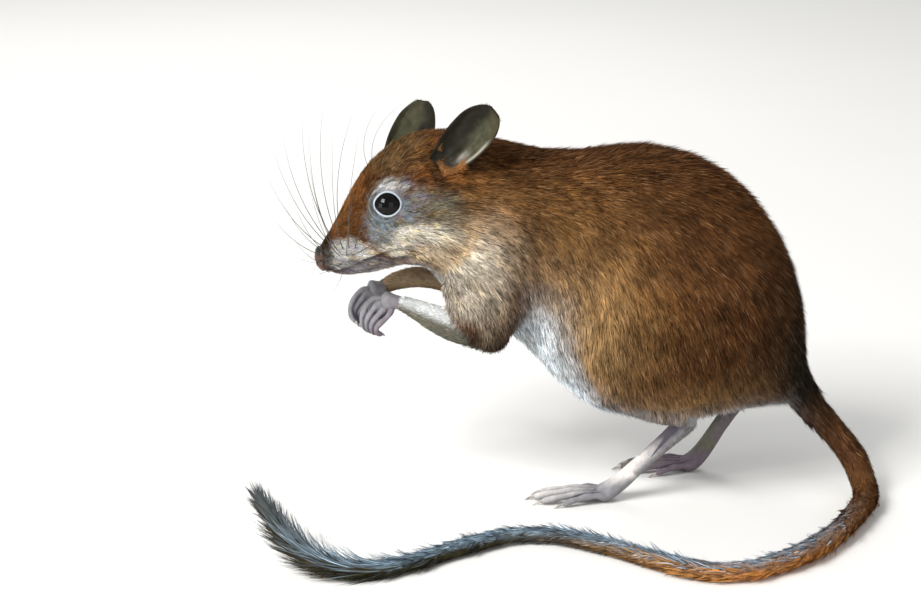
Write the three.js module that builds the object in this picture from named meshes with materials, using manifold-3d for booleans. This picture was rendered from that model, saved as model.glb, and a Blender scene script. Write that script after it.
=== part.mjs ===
// A life-size gerbil, crouched on its long hind feet with both hands drawn up to its chin and its
// long tail swept round in front of it on the ground. Millimetres, +Z up, facing -X, its left side
// towards -Y. Every solid gives the outside of the coat.
import * as THREE from "three";
import { mergeVertices } from "three/addons/utils/BufferGeometryUtils.js";
import Module from "manifold-3d";

const wasm = await Module();
wasm.setup();

// Driving sizes
const GAP = 0.3; // between pieces that touch
const HEAD_TURN = THREE.MathUtils.degToRad(17); // of the face, towards the left
const TURN_PIVOT_X = 9; // on the neck
const TURN_LENGTH = 16; // of neck that shares the turn
const EYE_RADIUS = 3.8;
const NOSE = { length: 4.4, wide: 2.9, deep: 3.3 }; // half sizes of its bare pad
const EYE_OPENING = 3.4; // radius between the lids
const LID_THICKNESS = 0.95;
const EAR_LENGTH = 22;
const EAR_WIDTH = 12.6;
const EAR_CUP = 3.2; // depth of the hollow
const EAR_THICKNESS = 0.9;
const TOE_RADIUS = 1.15;
const FINGER_RADIUS = 0.85;
const CLAW_LENGTH = { finger: 1.5, toe: 2.2 };
const LOCK_START = 0.56; // share of the tail's length where the bristles begin
const BRUSH_START = 0.84; // and where they are long and close
const LOCK_SPACING = [3.2, 0.85]; // of their roots along the tail, there and at the brush
const LOCK_REACH = [4.5, 10.5]; // their length
const LOCK_RISE = [2.1, 3.3]; // how far their tips stand off the tail's own line
const LOCK_WIDTH = 1.7;
const LOCK_THICKNESS = 0.8;
const LOCK_TURN = 2.4; // from each root round the tail to the next, in radians
const CAP_STEPS = 3; // rings that round off an end

const v3 = (x, y, z) => new THREE.Vector3(x, y, z);
const UP = v3(0, 0, 1);
const ACROSS = v3(0, 1, 0);
const smooth = THREE.MathUtils.smoothstep;
const mix = THREE.MathUtils.lerp;

// Colours and finishes
const coat = (color) => new THREE.MeshStandardMaterial({ color, roughness: 0.9, metalness: 0 });
const MATERIALS = {
  fur: coat(0x8a5a2c),
  pale_fur: coat(0xd9cbb4),
  ear_skin: new THREE.MeshStandardMaterial({ color: 0x4b4a40, roughness: 0.75, metalness: 0 }),
  foot_skin: new THREE.MeshStandardMaterial({ color: 0xdccabd, roughness: 0.8, metalness: 0 }),
  nose_skin: new THREE.MeshStandardMaterial({ color: 0x5a3427, roughness: 0.5, metalness: 0 }),
  eye: new THREE.MeshStandardMaterial({ color: 0x0a0706, roughness: 0.08, metalness: 0 }),
  tail_fur: coat(0x6b5438),
};

// Closes a list of rings, each with as many points, into one body with its faces outwards.
function closeRings(rings, first = null, last = null) {
  const sides = rings[0].length;
  const points = rings.flat();
  const middle = (ring) => ring.reduce((sum, p) => sum.add(p), v3(0, 0, 0)).divideScalar(sides);
  points.push(first ?? middle(rings[0]), last ?? middle(rings.at(-1)));
  const [start, end] = [points.length - 2, points.length - 1];
  const index = [];
  const lastRing = (rings.length - 1) * sides;
  for (let s = 0; s < sides; s++) {
    const next = (s + 1) % sides;
    index.push(start, next, s, end, lastRing + s, lastRing + next);
    for (let r = 0; r < rings.length - 1; r++) {
      const a = r * sides;
      const b = a + sides;
      index.push(a + s, a + next, b + s, a + next, b + next, b + s);
    }
  }
  const geometry = new THREE.BufferGeometry().setFromPoints(points).setIndex(index);
  return volumeOf(geometry) < 0 ? geometry.setIndex(index.reverse()) : geometry;
}

function volumeOf(geometry) {
  const place = geometry.getAttribute("position");
  const order = geometry.getIndex().array;
  const [a, b, c] = [v3(), v3(), v3()];
  let volume = 0;
  for (let i = 0; i < order.length; i += 3) {
    a.fromBufferAttribute(place, order[i]);
    b.fromBufferAttribute(place, order[i + 1]);
    c.fromBufferAttribute(place, order[i + 2]);
    volume += a.dot(b.cross(c)) / 6;
  }
  return volume;
}

// A body along a smooth line through its stations. A station is a centre with the half-width across
// and the half-depth in the plane of the line, or, with `over`, the whole half-depth as a vector.
// `egg` is the share by which its top is narrower. Each end may be rounded over a length, and
// `between` keeps a stretch of the whole. With no `steps`, there is one ring at each station.
function loft({ stations, sides, steps = 0, across = ACROSS, round = [0, 0], between = [0, 1],
  swell = 0, relief = null }) {
  const curve = (pick) => new THREE.CatmullRomCurve3(stations.map(pick), false, "centripetal");
  const line = curve((s) => s.at);
  const sizes = curve((s) => v3(s.wide, s.deep ?? s.wide, s.egg ?? 0));
  const overs = stations[0].over ? curve((s) => s.over) : null;
  line.arcLengthDivisions = 400;
  const length = line.getLength();
  const open = [round[0] / length, 1 - round[1] / length];
  const places = Array.from({ length: steps + 1 }, (_, i) => mix(open[0], open[1], i / steps));
  for (let i = 1; i < CAP_STEPS; i++) {
    const share = 1 - Math.cos((i * Math.PI) / 2 / CAP_STEPS);
    if (round[0]) places.push(share * open[0]);
    if (round[1]) places.push(1 - share * (1 - open[1]));
  }
  const margin = 0.3 / steps;
  const inside = places.filter((u) => u > between[0] + margin && u < between[1] - margin);
  const rounded = [round[0] && between[0] === 0, round[1] && between[1] === 1];
  const kept = [...inside, ...between.filter((_, i) => !rounded[i])].sort((a, b) => a - b);
  const closing = (away, reach) => (reach ? Math.sqrt(1 - Math.max(0, 1 - away / reach) ** 2) : 1);
  const stops = steps ? kept : stations.map((_, i) => i / (stations.length - 1));
  const rings = stops.map((u) => {
    const t = steps ? line.getUtoTmapping(u) : u;
    const centre = line.getPoint(t);
    const ahead = line.getTangent(t);
    const size = sizes.getPoint(t);
    const side = across.clone().addScaledVector(ahead, -across.dot(ahead)).normalize();
    const over = overs ? overs.getPoint(t) : side.clone().cross(ahead).setLength(size.y);
    const close = closing(u * length, round[0]) * closing((1 - u) * length, round[1]);
    const out = over.clone().normalize();
    return Array.from({ length: sides }, (_, k) => {
      const angle = (k / sides) * 2 * Math.PI;
      const [flat, high] = [Math.cos(angle), Math.sin(angle)];
      const wide = (size.x * close + swell) * flat * (1 - size.z * high);
      const point = centre.clone().addScaledVector(side, wide);
      point.addScaledVector(out, (over.length() * close + swell) * high);
      const away = side.clone().multiplyScalar(flat).addScaledVector(out, high);
      return relief ? point.addScaledVector(away, relief(point)) : point;
    });
  });
  const tip = (t, way) => line.getPoint(t).addScaledVector(line.getTangent(t), way * swell);
  return closeRings(rings, rounded[0] ? tip(0, -1) : null, rounded[1] ? tip(1, 1) : null);
}

// The solid of a closed geometry, for joining and cutting.
function solid(geometry) {
  const bare = geometry.clone();
  bare.deleteAttribute("normal");
  bare.deleteAttribute("uv");
  const merged = mergeVertices(bare, 1e-4);
  return new wasm.Manifold(new wasm.Mesh({
    numProp: 3,
    vertProperties: new Float32Array(merged.getAttribute("position").array),
    triVerts: new Uint32Array(merged.getIndex().array),
  }));
}

// The largest closed surface of a solid.
function largest(made) {
  return made.decompose().sort((a, b) => b.volume() - a.volume())[0];
}

function joined(solids) {
  return solids.reduce((whole, next) => whole.add(next));
}

const gerbil = new THREE.Group();
gerbil.name = "gerbil";

function addNode(name, material, made) {
  const mesh = largest(made).getMesh();
  const geometry = new THREE.BufferGeometry();
  geometry.setAttribute("position", new THREE.BufferAttribute(mesh.vertProperties, 3));
  geometry.setIndex(new THREE.BufferAttribute(mesh.triVerts, 1));
  geometry.computeVertexNormals();
  const node = new THREE.Mesh(geometry, MATERIALS[material]);
  node.name = name;
  gerbil.add(node);
}

const above = solid(new THREE.BoxGeometry(400, 400, 200).translate(0, 0, 100));

// The head is modelled straight ahead and then turned about the neck.
function turnPoint(point) {
  const angle = HEAD_TURN * smooth(TURN_PIVOT_X + TURN_LENGTH / 2 - point.x, 0, TURN_LENGTH);
  const [x, y] = [point.x - TURN_PIVOT_X, point.y];
  point.x = TURN_PIVOT_X + x * Math.cos(angle) - y * Math.sin(angle);
  point.y = x * Math.sin(angle) + y * Math.cos(angle);
  return point;
}

function turned(geometry) {
  const place = geometry.getAttribute("position");
  const point = v3();
  for (let i = 0; i < place.count; i++) {
    turnPoint(point.fromBufferAttribute(place, i));
    place.setXYZ(i, point.x, point.y, point.z);
  }
  return geometry;
}

// A body's mound or hollow: how far it stands out at a point near its middle.
const mound = (point, middle, reach, height) =>
  height * Math.exp(-point.distanceToSquared(middle) / (reach * reach));

// The whole trunk, from the nose to the root of the tail, by the crown and the underside of each
// section, as x and z in the plane of symmetry
const section = (crownX, crownZ, lowX, lowZ, wide, egg = 0) => ({
  at: v3((crownX + lowX) / 2, 0, (crownZ + lowZ) / 2),
  over: v3((crownX - lowX) / 2, 0, (crownZ - lowZ) / 2),
  wide,
  egg,
});
const TRUNK = [
  section(-37.8, 63.8, -37.0, 61.0, 2.2),
  section(-36.4, 66.2, -34.4, 59.7, 3.5, 0.05),
  section(-33.8, 69.8, -28.8, 59.0, 5.4, 0.12),
  section(-31.0, 74.7, -23.4, 59.2, 7.4, 0.18),
  section(-27.4, 80.9, -18.0, 60.6, 9.8, 0.2),
  section(-22.6, 87.0, -12.6, 60.6, 12.0, 0.18),
  section(-17.0, 91.0, -8.3, 58.4, 13.4, 0.16),
  section(-10.7, 93.2, -4.4, 53.5, 14.2, 0.14),
  section(-1.8, 93.2, 0.0, 48.5, 14.6, 0.12),
  section(9.7, 90.3, 6.1, 44.5, 15.2, 0.1),
  section(17.1, 88.0, 11.9, 41.1, 16.6, 0.08),
  section(25.7, 87.0, 17.5, 37.0, 18.6, 0.06),
  section(34.3, 88.6, 23.1, 29.6, 20.6, 0.05),
  section(44.1, 89.4, 32.7, 21.6, 22.2, 0.04),
  section(54.8, 87.4, 44.2, 18.7, 22.8, 0.03),
  section(64.5, 82.6, 55.5, 18.7, 22.2, 0.02),
  section(73.8, 73.6, 66.1, 20.3, 20.2),
  section(80.6, 62.4, 73.7, 21.8, 17.0),
  section(84.8, 50.2, 78.7, 23.2, 12.8),
  section(86.0, 37.6, 80.6, 23.6, 8.0),
  section(87.8, 30.2, 82.6, 22.4, 4.7),
];
const NECK_END = 0.475; // share of the trunk's length
const LEFT_EYE = v3(-21.3, -7.6, 77.5); // before the head turns

function faceRelief(point) {
  const mirrored = v3(point.x, -Math.abs(point.y), point.z);
  return (
    mound(mirrored, v3(-22.6, -8.6, 76.5), 5.6, -0.9) +
    mound(mirrored, v3(-30.0, -5.0, 63.0), 3.8, 1.0) +
    mound(mirrored, v3(-12.0, -12.5, 68.0), 8.0, 1.2)
  );
}

function trunk(between, swell = 0) {
  return solid(turned(loft({
    stations: TRUNK, sides: 24, steps: 33, round: [1.6, 0], between, swell, relief: faceRelief,
  })));
}

const EYE_LOOK = v3(-0.36, -0.86, 0.32).normalize(); // outwards from the left eye, before the turn
const mirrorY = (p, side) => v3(p.x, -p.y * side, p.z);

// The eyeball of one side, -1 for the left and 1 for the right.
function eyeball(side, swell = 0) {
  const at = mirrorY(LEFT_EYE, side);
  return turned(new THREE.SphereGeometry(EYE_RADIUS + swell, 14, 9).translate(at.x, at.y, at.z));
}

// The ring of lid round an eye.
function lids(side) {
  const ring = new THREE.TorusGeometry(EYE_OPENING + LID_THICKNESS * 0.6, LID_THICKNESS, 6, 20);
  ring.scale(1.06, 1, 1);
  const look = mirrorY(EYE_LOOK, side);
  const rise = Math.sqrt(EYE_RADIUS ** 2 - EYE_OPENING ** 2) - 0.35;
  ring.applyQuaternion(new THREE.Quaternion().setFromUnitVectors(v3(0, 0, 1), look));
  const at = mirrorY(LEFT_EYE, side).addScaledVector(look, rise);
  return turned(ring.translate(at.x, at.y, at.z));
}

// The groove under the upper lip: from the front of the lip up to the corner of the mouth on each
// side and back over the jaw to the cheek
function mouthGroove(side) {
  return turned(loft({
    stations: [
      { at: v3(-30.5, 2.2 * side, 58.6), wide: 0.7, deep: 1.2 },
      { at: v3(-26.0, 4.6 * side, 60.2), wide: 0.7, deep: 1.5 },
      { at: v3(-21.6, 7.4 * side, 63.0), wide: 0.8, deep: 1.6 },
      { at: v3(-17.0, 9.6 * side, 64.6), wide: 0.9, deep: 1.4 },
      { at: v3(-11.5, 11.6 * side, 64.2), wide: 0.8, deep: 1.0 },
      { at: v3(-7.0, 13.6 * side, 62.4), wide: 0.4, deep: 0.5 },
    ],
    sides: 6, steps: 9, across: UP, round: [0.5, 0.5],
  }));
}

function nostril(side) {
  const comma = new THREE.SphereGeometry(1, 8, 6).scale(1.2, 0.7, 0.55);
  return turned(comma.rotateY(-0.7).translate(-36.9, side * 2.1, 62.3));
}

// Everything on one side of a plane through a point, in the direction of `way`
function beyond(at, way, inset, reach = 60) {
  const block = new THREE.BoxGeometry(reach, 2 * reach, 2 * reach).translate(reach / 2, 0, 0);
  block.applyQuaternion(new THREE.Quaternion().setFromUnitVectors(v3(1, 0, 0), way));
  const start = at.clone().addScaledVector(way, inset);
  return block.translate(start.x, start.y, start.z);
}
const noseSpace = (swell) => {
  const pad = new THREE.SphereGeometry(1, 16, 10);
  pad.scale(NOSE.length + swell, NOSE.wide + swell, NOSE.deep + swell);
  return solid(turned(pad.translate(-38.0, 0, 63.2)));
};
const FACE_WAY = v3(-0.89, 0, 0.46).normalize();
const headSpace = (inset) => solid(turned(beyond(v3(-8.5, 0, 58.5), FACE_WAY, inset)));

const headAndNeck = trunk([0, NECK_END]);
const headWhole = joined([headAndNeck.intersect(headSpace(GAP)), solid(lids(1)), solid(lids(-1))]);
const headCuts = joined([
  solid(eyeball(1, GAP)),
  solid(eyeball(-1, GAP)),
  solid(mouthGroove(1)),
  solid(mouthGroove(-1)),
  noseSpace(GAP),
]);
const nostrils = joined([solid(nostril(1)), solid(nostril(-1))]);
addNode("head", "fur", headWhole.subtract(headCuts));
addNode("nose", "nose_skin", headWhole.intersect(noseSpace(0)).subtract(nostrils));
addNode("eye_left", "eye", solid(eyeball(-1)));
addNode("eye_right", "eye", solid(eyeball(1)));
addNode("neck", "fur", headAndNeck.subtract(headSpace(0)));

// One ear: a curled leaf with a hollow face. `up` runs to its tip and `face` out of its hollow.
function ear({ root, up, face }) {
  const rise = up.clone().normalize();
  const out = face.clone().addScaledVector(rise, -face.dot(rise)).normalize();
  const side = rise.clone().cross(out);
  const rows = 10;
  const columns = 8;
  const rings = [];
  for (let r = 0; r <= rows; r++) {
    const u = 0.985 * Math.sin(((r / rows) * Math.PI) / 2) ** 0.9;
    const width = (EAR_WIDTH / 2) * Math.sqrt(1 - u) * (0.66 + 1.6 * u) * 0.97;
    const hollow = EAR_CUP * (1 - u ** 3) * smooth(u, -0.1, 0.35);
    const thick = EAR_THICKNESS * (1 - 0.3 * u);
    const at = root.clone().addScaledVector(rise, u * EAR_LENGTH);
    const place = (across, sunk) =>
      at.clone().addScaledVector(side, across * width).addScaledVector(out, -sunk);
    const ring = [];
    for (let c = 0; c <= columns; c++) {
      const across = (2 * c) / columns - 1;
      ring.push(place(across, hollow * (1 - across ** 2)));
    }
    for (let c = columns; c >= 0; c--) {
      const across = (2 * c) / columns - 1;
      const grown = 1 + (thick * 0.4) / Math.max(width, 0.8);
      ring.push(place(across * grown, hollow * (1 - across ** 2) + thick));
    }
    rings.push(ring);
  }
  return closeRings(rings);
}

const headGrown = trunk([0, NECK_END], GAP);
const LEFT_EAR = { root: v3(-3.6, -10.8, 82.2), up: v3(11.4, -4.8, 18.4), face: v3(-0.5, -0.85, 0.2) };
const RIGHT_EAR = { root: v3(-13.6, 3.4, 78.8), up: v3(2.8, 10.2, 16.2), face: v3(-0.62, -0.72, 0.3) };
addNode("ear_left", "ear_skin", solid(ear(LEFT_EAR)).subtract(headGrown));
addNode("ear_right", "ear_skin", solid(ear(RIGHT_EAR)).subtract(headGrown));

// The limbs, each from stations of centre, half-width across and half-depth
const joint = (x, y, z, wide, deep) => ({ at: v3(x, y, z), wide, deep: deep ?? wide });
const ARM_ROUTE = (side) => [
  joint(14.0, 9.0 * side, 77.5, 4.4, 5.0),
  joint(11.6, 12.0 * side, 71.0, 5.4, 9.4),
  joint(8.6, 13.6 * side, 63.0, 6.0, 12.4),
  joint(6.8, 14.2 * side, 55.5, 6.3, 11.6),
  joint(7.0, 14.8 * side, 48.5, 6.0, 8.6),
  joint(8.4, 15.2 * side, 43.6, 4.6, 5.4),
  joint(9.8, 15.4 * side, 39.4, 2.7, 2.8),
];
const upperArm = (side, swell = 0) => solid(loft({
  stations: ARM_ROUTE(side), sides: 16, steps: 10, round: [4, 2], swell,
}));
const FOREARM_LEFT = [
  joint(6.5, -15.4, 45.6, 3.6, 4.8),
  joint(0.5, -14.6, 46.2, 3.6, 4.7),
  joint(-5.5, -12.6, 47.6, 2.9, 3.9),
  joint(-11.0, -10.2, 49.6, 2.2, 2.8),
  joint(-14.6, -8.8, 50.8, 1.9, 2.2),
];
const FOREARM_RIGHT = [
  joint(4.0, 13.6, 49.0, 3.6, 4.4),
  joint(-2.5, 11.8, 51.0, 3.2, 3.8),
  joint(-9.5, 9.0, 52.6, 2.5, 3.1),
  joint(-15.5, 6.6, 52.4, 2.2, 2.7),
  joint(-19.0, 5.2, 51.2, 1.9, 2.2),
];
const forearm = (stations, swell = 0) => solid(loft({
  stations, sides: 12, steps: 7, round: [2.4, 0], swell,
}));

// A finger or toe along a bent line, narrowing at its tip to a claw
const DIGIT_SIDES = 6;
function digit(route, radius, clawLength, clawDrop) {
  const curve = new THREE.CatmullRomCurve3(route, false, "centripetal");
  const joints = [0, 0.25, 0.5, 0.75, 0.94].map((t, i) => ({
    at: curve.getPoint(t),
    wide: radius * [0.9, 1.08, 0.95, 1.0, 0.8][i],
  }));
  const tip = route.at(-1);
  const ahead = curve.getTangent(1);
  const along = (reach, drop) => tip.clone().addScaledVector(ahead, reach).addScaledVector(UP, -drop);
  const claw = [
    { at: along(0, -radius * 0.1), wide: radius * 0.5 },
    { at: along(clawLength * 0.5, clawDrop * 0.1), wide: radius * 0.36 },
    { at: along(clawLength, clawDrop), wide: 0.14 },
  ];
  return solid(loft({ stations: [...joints, ...claw], sides: DIGIT_SIDES, across: v3(0.1, 1, 0.1) }));
}

// One hand: a palm and four fingers that curl down side by side.
function hand({ wrist, knuckles, bulge, tips, back }) {
  const palm = loft({
    stations: [
      { at: wrist, wide: 1.9, deep: 2.1 },
      { at: wrist.clone().lerp(back, 0.55), wide: 2.5, deep: 2.3 },
      { at: back, wide: 3.0, deep: 2.2 },
      { at: back.clone().add(back).sub(wrist).lerp(back, 0.55), wide: 2.4, deep: 1.6 },
    ],
    sides: 10, steps: 5, across: v3(0.72, 0, -0.69), round: [0, 1.4],
  });
  const fingers = [0, 1 / 3, 2 / 3, 1].map((k) => {
    const [knuckle, bend, tip] = [knuckles, bulge, tips].map(([a, b]) => a.clone().lerp(b, k));
    const start = back.clone().lerp(knuckle, 0.15);
    const dip = bend.clone().lerp(tip, 0.6).addScaledVector(bend.clone().sub(knuckle), 0.16);
    const radius = FINGER_RADIUS * (1 - 0.25 * Math.abs(k - 0.5));
    return digit([start, knuckle, bend, dip, tip], radius, CLAW_LENGTH.finger, 0.3);
  });
  return joined([solid(palm), ...fingers]);
}
const HAND_LEFT = {
  wrist: v3(-15.0, -8.6, 50.9),
  back: v3(-18.0, -7.9, 51.0),
  knuckles: [v3(-21.8, -7.4, 51.4), v3(-17.4, -8.8, 48.6)],
  bulge: [v3(-24.4, -7.6, 47.0), v3(-20.4, -9.0, 44.8)],
  tips: [v3(-22.2, -5.2, 42.0), v3(-19.2, -6.2, 41.8)],
};
const HAND_RIGHT = {
  wrist: v3(-19.4, 5.0, 51.0),
  back: v3(-21.8, 3.8, 50.6),
  knuckles: [v3(-25.0, 2.4, 50.6), v3(-22.2, 2.0, 47.6)],
  bulge: [v3(-27.4, 0.8, 47.0), v3(-25.0, 0.6, 44.4)],
  tips: [v3(-26.0, -1.6, 43.6), v3(-23.4, -1.4, 41.8)],
};

// The hind limbs. The right foot stands further back and steeper than the left.
const HIND = {
  left: { side: -1, knee: 0, ball: 37.6, rise: THREE.MathUtils.degToRad(44) },
  right: { side: 1, knee: 7, ball: 60.6, rise: THREE.MathUtils.degToRad(58) },
};
const FOOT_ASIDE = 11.2;
const METATARSUS = 29; // heel to ball

// A place along the raised part of the foot: 0 at the ball, 1 at the heel, `off` towards the front
function footPlace({ side, ball, rise }, share, off = 0) {
  const [run, climb] = [Math.cos(rise), Math.sin(rise)];
  const reach = METATARSUS * share;
  return v3(ball + run * reach - climb * off, FOOT_ASIDE * side, 2.6 + climb * reach + run * off);
}
const sized = (at, wide, deep = wide) => ({ at, wide, deep });
const thigh = (pose, swell = 0) => solid(loft({
  stations: [
    joint(76.0, 10.6 * pose.side, 46.0, 6.0, 10.0),
    joint(65.0, 14.2 * pose.side, 48.0, 9.8, 17.0),
    joint(51.5 + pose.knee * 0.3, 16.4 * pose.side, 46.0, 10.8, 19.0),
    joint(39.0 + pose.knee * 0.7, 17.2 * pose.side, 41.5, 9.4, 15.4),
    joint(30.0 + pose.knee, 17.2 * pose.side, 37.4, 6.8, 10.0),
  ],
  sides: 20, steps: 10, round: [6, 4], swell,
}));
const shank = (pose, swell = 0) => {
  const ankle = footPlace(pose, 0.93, 1.6);
  const knee = v3(34.0 + pose.knee, 16.0 * pose.side, 32.5);
  return solid(loft({
    stations: [
      sized(knee, 5.4, 5.8),
      sized(knee.clone().lerp(ankle, 0.45), 5.0, 5.4),
      sized(knee.clone().lerp(ankle, 0.8), 3.6, 4.3),
      sized(ankle, 2.7, 3.4),
    ],
    sides: 12, steps: 7, round: [3, 0], swell,
  }));
};

// One hind foot, from the heel down to the ball and out along five toes, flat underneath. Each toe
// starts and ends aside of the middle one, outwards where positive.
const TOES = [
  { start: -2.4, end: -5.4, reach: 10.6, size: 0.82 },
  { start: -1.5, end: -3.5, reach: 17.8, size: 1 },
  { start: 0, end: 0.2, reach: 19.4, size: 1.08 },
  { start: 1.5, end: 3.8, reach: 17.6, size: 1 },
  { start: 2.3, end: 5.9, reach: 12.4, size: 0.86 },
];
function sole(pose, swell = 0) {
  const { side, ball } = pose;
  const y = FOOT_ASIDE * side;
  return solid(loft({
    stations: [
      sized(footPlace(pose, 1.0), 2.1, 2.2),
      sized(footPlace(pose, 0.9, 0.4), 2.6, 3.3),
      sized(footPlace(pose, 0.72), 2.4, 2.7),
      sized(footPlace(pose, 0.4), 2.4, 2.3),
      sized(footPlace(pose, 0.12), 3.0, 2.5),
      sized(v3(ball - 1.2, y, 2.4), 3.8, 2.5),
      sized(v3(ball - 4.4, y, 1.8), 3.5, 2.0),
    ],
    sides: 10, steps: 10, round: [1.8, 2.4], swell,
  }));
}
function foot(pose) {
  const toes = TOES.map(({ start, end, reach, size }) => {
    const from = v3(pose.ball, (FOOT_ASIDE + start) * pose.side, 1.9);
    const to = v3(pose.ball - reach, (FOOT_ASIDE + end) * pose.side, TOE_RADIUS * 0.8);
    const arch = from.clone().lerp(to, 0.45).add(v3(0, 0, 0.9));
    const knuckle = from.clone().lerp(to, 0.75).add(v3(0, 0, 0.55));
    return digit([from, arch, knuckle, to], TOE_RADIUS * size, CLAW_LENGTH.toe, 0.5);
  });
  return joined([sole(pose), ...toes]).intersect(above);
}

// Everything higher up the raised part of the foot than its join with the ball
const hockSpace = (pose, inset) => solid(beyond(
  footPlace(pose, 0.26), v3(Math.cos(pose.rise), 0, Math.sin(pose.rise)), inset));

// The tail, as a line of centres with its half-width: down from the rump, round to the left on the
// ground, in a wave along the front, and up a little at its brush
const TAIL = [
  joint(84.2, 0, 28.6, 4.8),
  joint(86.0, 0, 24.6, 4.4),
  joint(90.4, -0.5, 19.2, 4.1),
  joint(95.2, -2.0, 14.2, 3.9),
  joint(99.2, -4.6, 8.8, 3.8),
  joint(101.0, -9.6, 4.4, 3.6),
  joint(100.6, -18.0, 3.3, 3.5),
  joint(97.0, -29.0, 3.1, 3.3),
  joint(90.6, -42.6, 3.0, 3.2),
  joint(83.2, -53.4, 2.9, 3.1),
  joint(74.6, -61.8, 2.8, 3.0),
  joint(66.4, -66.4, 2.7, 2.9),
  joint(58.6, -67.0, 2.6, 2.8),
  joint(51.0, -63.0, 2.6, 2.7),
  joint(42.2, -55.4, 2.5, 2.6),
  joint(34.4, -48.6, 2.4, 2.5),
  joint(25.6, -42.8, 2.4, 2.5),
  joint(17.0, -41.0, 2.3, 2.4),
  joint(8.0, -44.4, 2.3, 2.4),
  joint(-3.4, -53.0, 2.3, 2.4),
  joint(-13.0, -61.0, 2.3, 2.4),
  joint(-20.6, -65.0, 2.4, 2.4),
  joint(-27.0, -65.2, 2.8, 2.4),
  joint(-33.2, -62.6, 3.8, 2.2),
  joint(-38.8, -57.8, 5.8, 1.8),
  joint(-43.2, -52.0, 8.2, 1.3),
  joint(-46.2, -46.8, 10.6, 0.8),
];
const TAIL_CUTS = [0.015, 0.15, 0.32, 0.46, 0.59, 0.71, 0.84, 1];
const tailSpan = { stations: TAIL, sides: 10, steps: 50, across: UP };
const tailLine = new THREE.CatmullRomCurve3(TAIL.map((s) => s.at), false, "centripetal");
tailLine.arcLengthDivisions = 400;
const tailLength = tailLine.getLength();
const tailSizes = new THREE.CatmullRomCurve3(TAIL.map((s) => v3(s.wide, 0, 0)), false, "centripetal");

// One flat tapered bristle lock, which follows the tail's bend and rises off it towards its tip.
// `turn` is its place round the tail, from the top down the left side.
function tailLock({ share, turn, reach, rise }) {
  const start = tailSizes.getPoint(tailLine.getUtoTmapping(share)).x * 0.6;
  const place = (along) => {
    const there = share + (reach * along) / tailLength;
    const t = tailLine.getUtoTmapping(Math.min(there, 1));
    const ahead = tailLine.getTangent(t);
    const aside = UP.clone().cross(ahead).normalize();
    const out = ahead.clone().cross(aside).multiplyScalar(Math.cos(turn));
    out.addScaledVector(aside, Math.sin(turn));
    const at = tailLine.getPoint(t).addScaledVector(ahead, Math.max(0, there - 1) * tailLength);
    return [at.addScaledVector(out, start + rise * along ** 1.2), out, ahead.cross(out)];
  };
  const rings = [[0, 1], [0.45, 0.9], [0.8, 0.5]].map(([along, size]) => {
    const [at, out, flat] = place(along);
    const [half, thick] = [(LOCK_WIDTH * size) / 2, (LOCK_THICKNESS * size) / 2];
    return [[half, 0], [0, thick], [-half, 0], [0, -thick]].map(([w, h]) =>
      at.clone().addScaledVector(flat, w).addScaledVector(out, h));
  });
  return solid(closeRings(rings, null, place(1)[0]));
}

// All the locks: short and apart where they begin, long and close at the brush, round the top and
// both sides, and drawn together at the tip
const LOCKS = [];
for (let share = LOCK_START, step = 0; share < 0.985; step++) {
  const brush = smooth(share, BRUSH_START - 0.1, BRUSH_START + 0.04);
  const end = smooth(share, 0.93, 1);
  LOCKS.push({
    share,
    turn: Math.sin(step * LOCK_TURN) * Math.PI * mix(0.62, 0.78, brush),
    reach: mix(...LOCK_REACH, brush) * (1 - 0.3 * end),
    rise: mix(...LOCK_RISE, brush) * (1 - 0.6 * end),
  });
  share += mix(...LOCK_SPACING, brush) / tailLength;
}

TAIL_CUTS.slice(0, -1).forEach((from, i) => {
  const last = i === TAIL_CUTS.length - 2;
  const between = [from + GAP / 2 / tailLength, TAIL_CUTS[i + 1] - (last ? 0 : GAP / 2 / tailLength)];
  const core = solid(loft({ ...tailSpan, round: [0, last ? 1 : 0], between }));
  const rooted = LOCKS.filter(({ share, reach }) =>
    share > between[0] + LOCK_WIDTH / tailLength && (last || share + reach / tailLength < between[1]));
  addNode(`tail_${i + 1}`, "tail_fur", joined([core, ...rooted.map(tailLock)]).intersect(above));
});

const limbs = (pose) => [thigh(pose, GAP), shank(pose, GAP), sole(pose, GAP)];
const limbSpace = Object.values(HIND).flatMap(limbs);
const tailRoot = solid(loft({ ...tailSpan, between: [0.005, 0.12], swell: GAP }));
addNode("torso", "fur", trunk([NECK_END + 0.002, 1]).subtract(joined([...limbSpace, tailRoot])));

const trunkGrown = trunk([0, 0.98], GAP);
const FORE = {
  left: { side: -1, route: FOREARM_LEFT, grip: HAND_LEFT },
  right: { side: 1, route: FOREARM_RIGHT, grip: HAND_RIGHT },
};
for (const [name, { side, route, grip }] of Object.entries(FORE)) {
  addNode(`upper_arm_${name}`, "fur", upperArm(side).subtract(trunkGrown));
  const behind = joined([upperArm(side, GAP), trunkGrown]);
  addNode(`forearm_${name}`, "pale_fur", forearm(route).subtract(behind));
  addNode(`hand_${name}`, "foot_skin", hand(grip).subtract(forearm(route, GAP)));
}
for (const [name, pose] of Object.entries(HIND)) {
  addNode(`thigh_${name}`, "fur", thigh(pose));
  addNode(`shank_${name}`, "pale_fur", shank(pose).subtract(thigh(pose, GAP)));
  const whole = foot(pose).subtract(joined([shank(pose, GAP), thigh(pose, GAP)]));
  addNode(`hock_${name}`, "foot_skin", whole.intersect(hockSpace(pose, GAP)));
  addNode(`foot_${name}`, "foot_skin", whole.subtract(hockSpace(pose, 0)));
}

// The origin is under the middle of the whole, on the ground.
const box = new THREE.Box3().setFromObject(gerbil);
const middle = box.getCenter(v3());
gerbil.position.set(-middle.x, -middle.y, -box.min.z);

export default gerbil;
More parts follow.
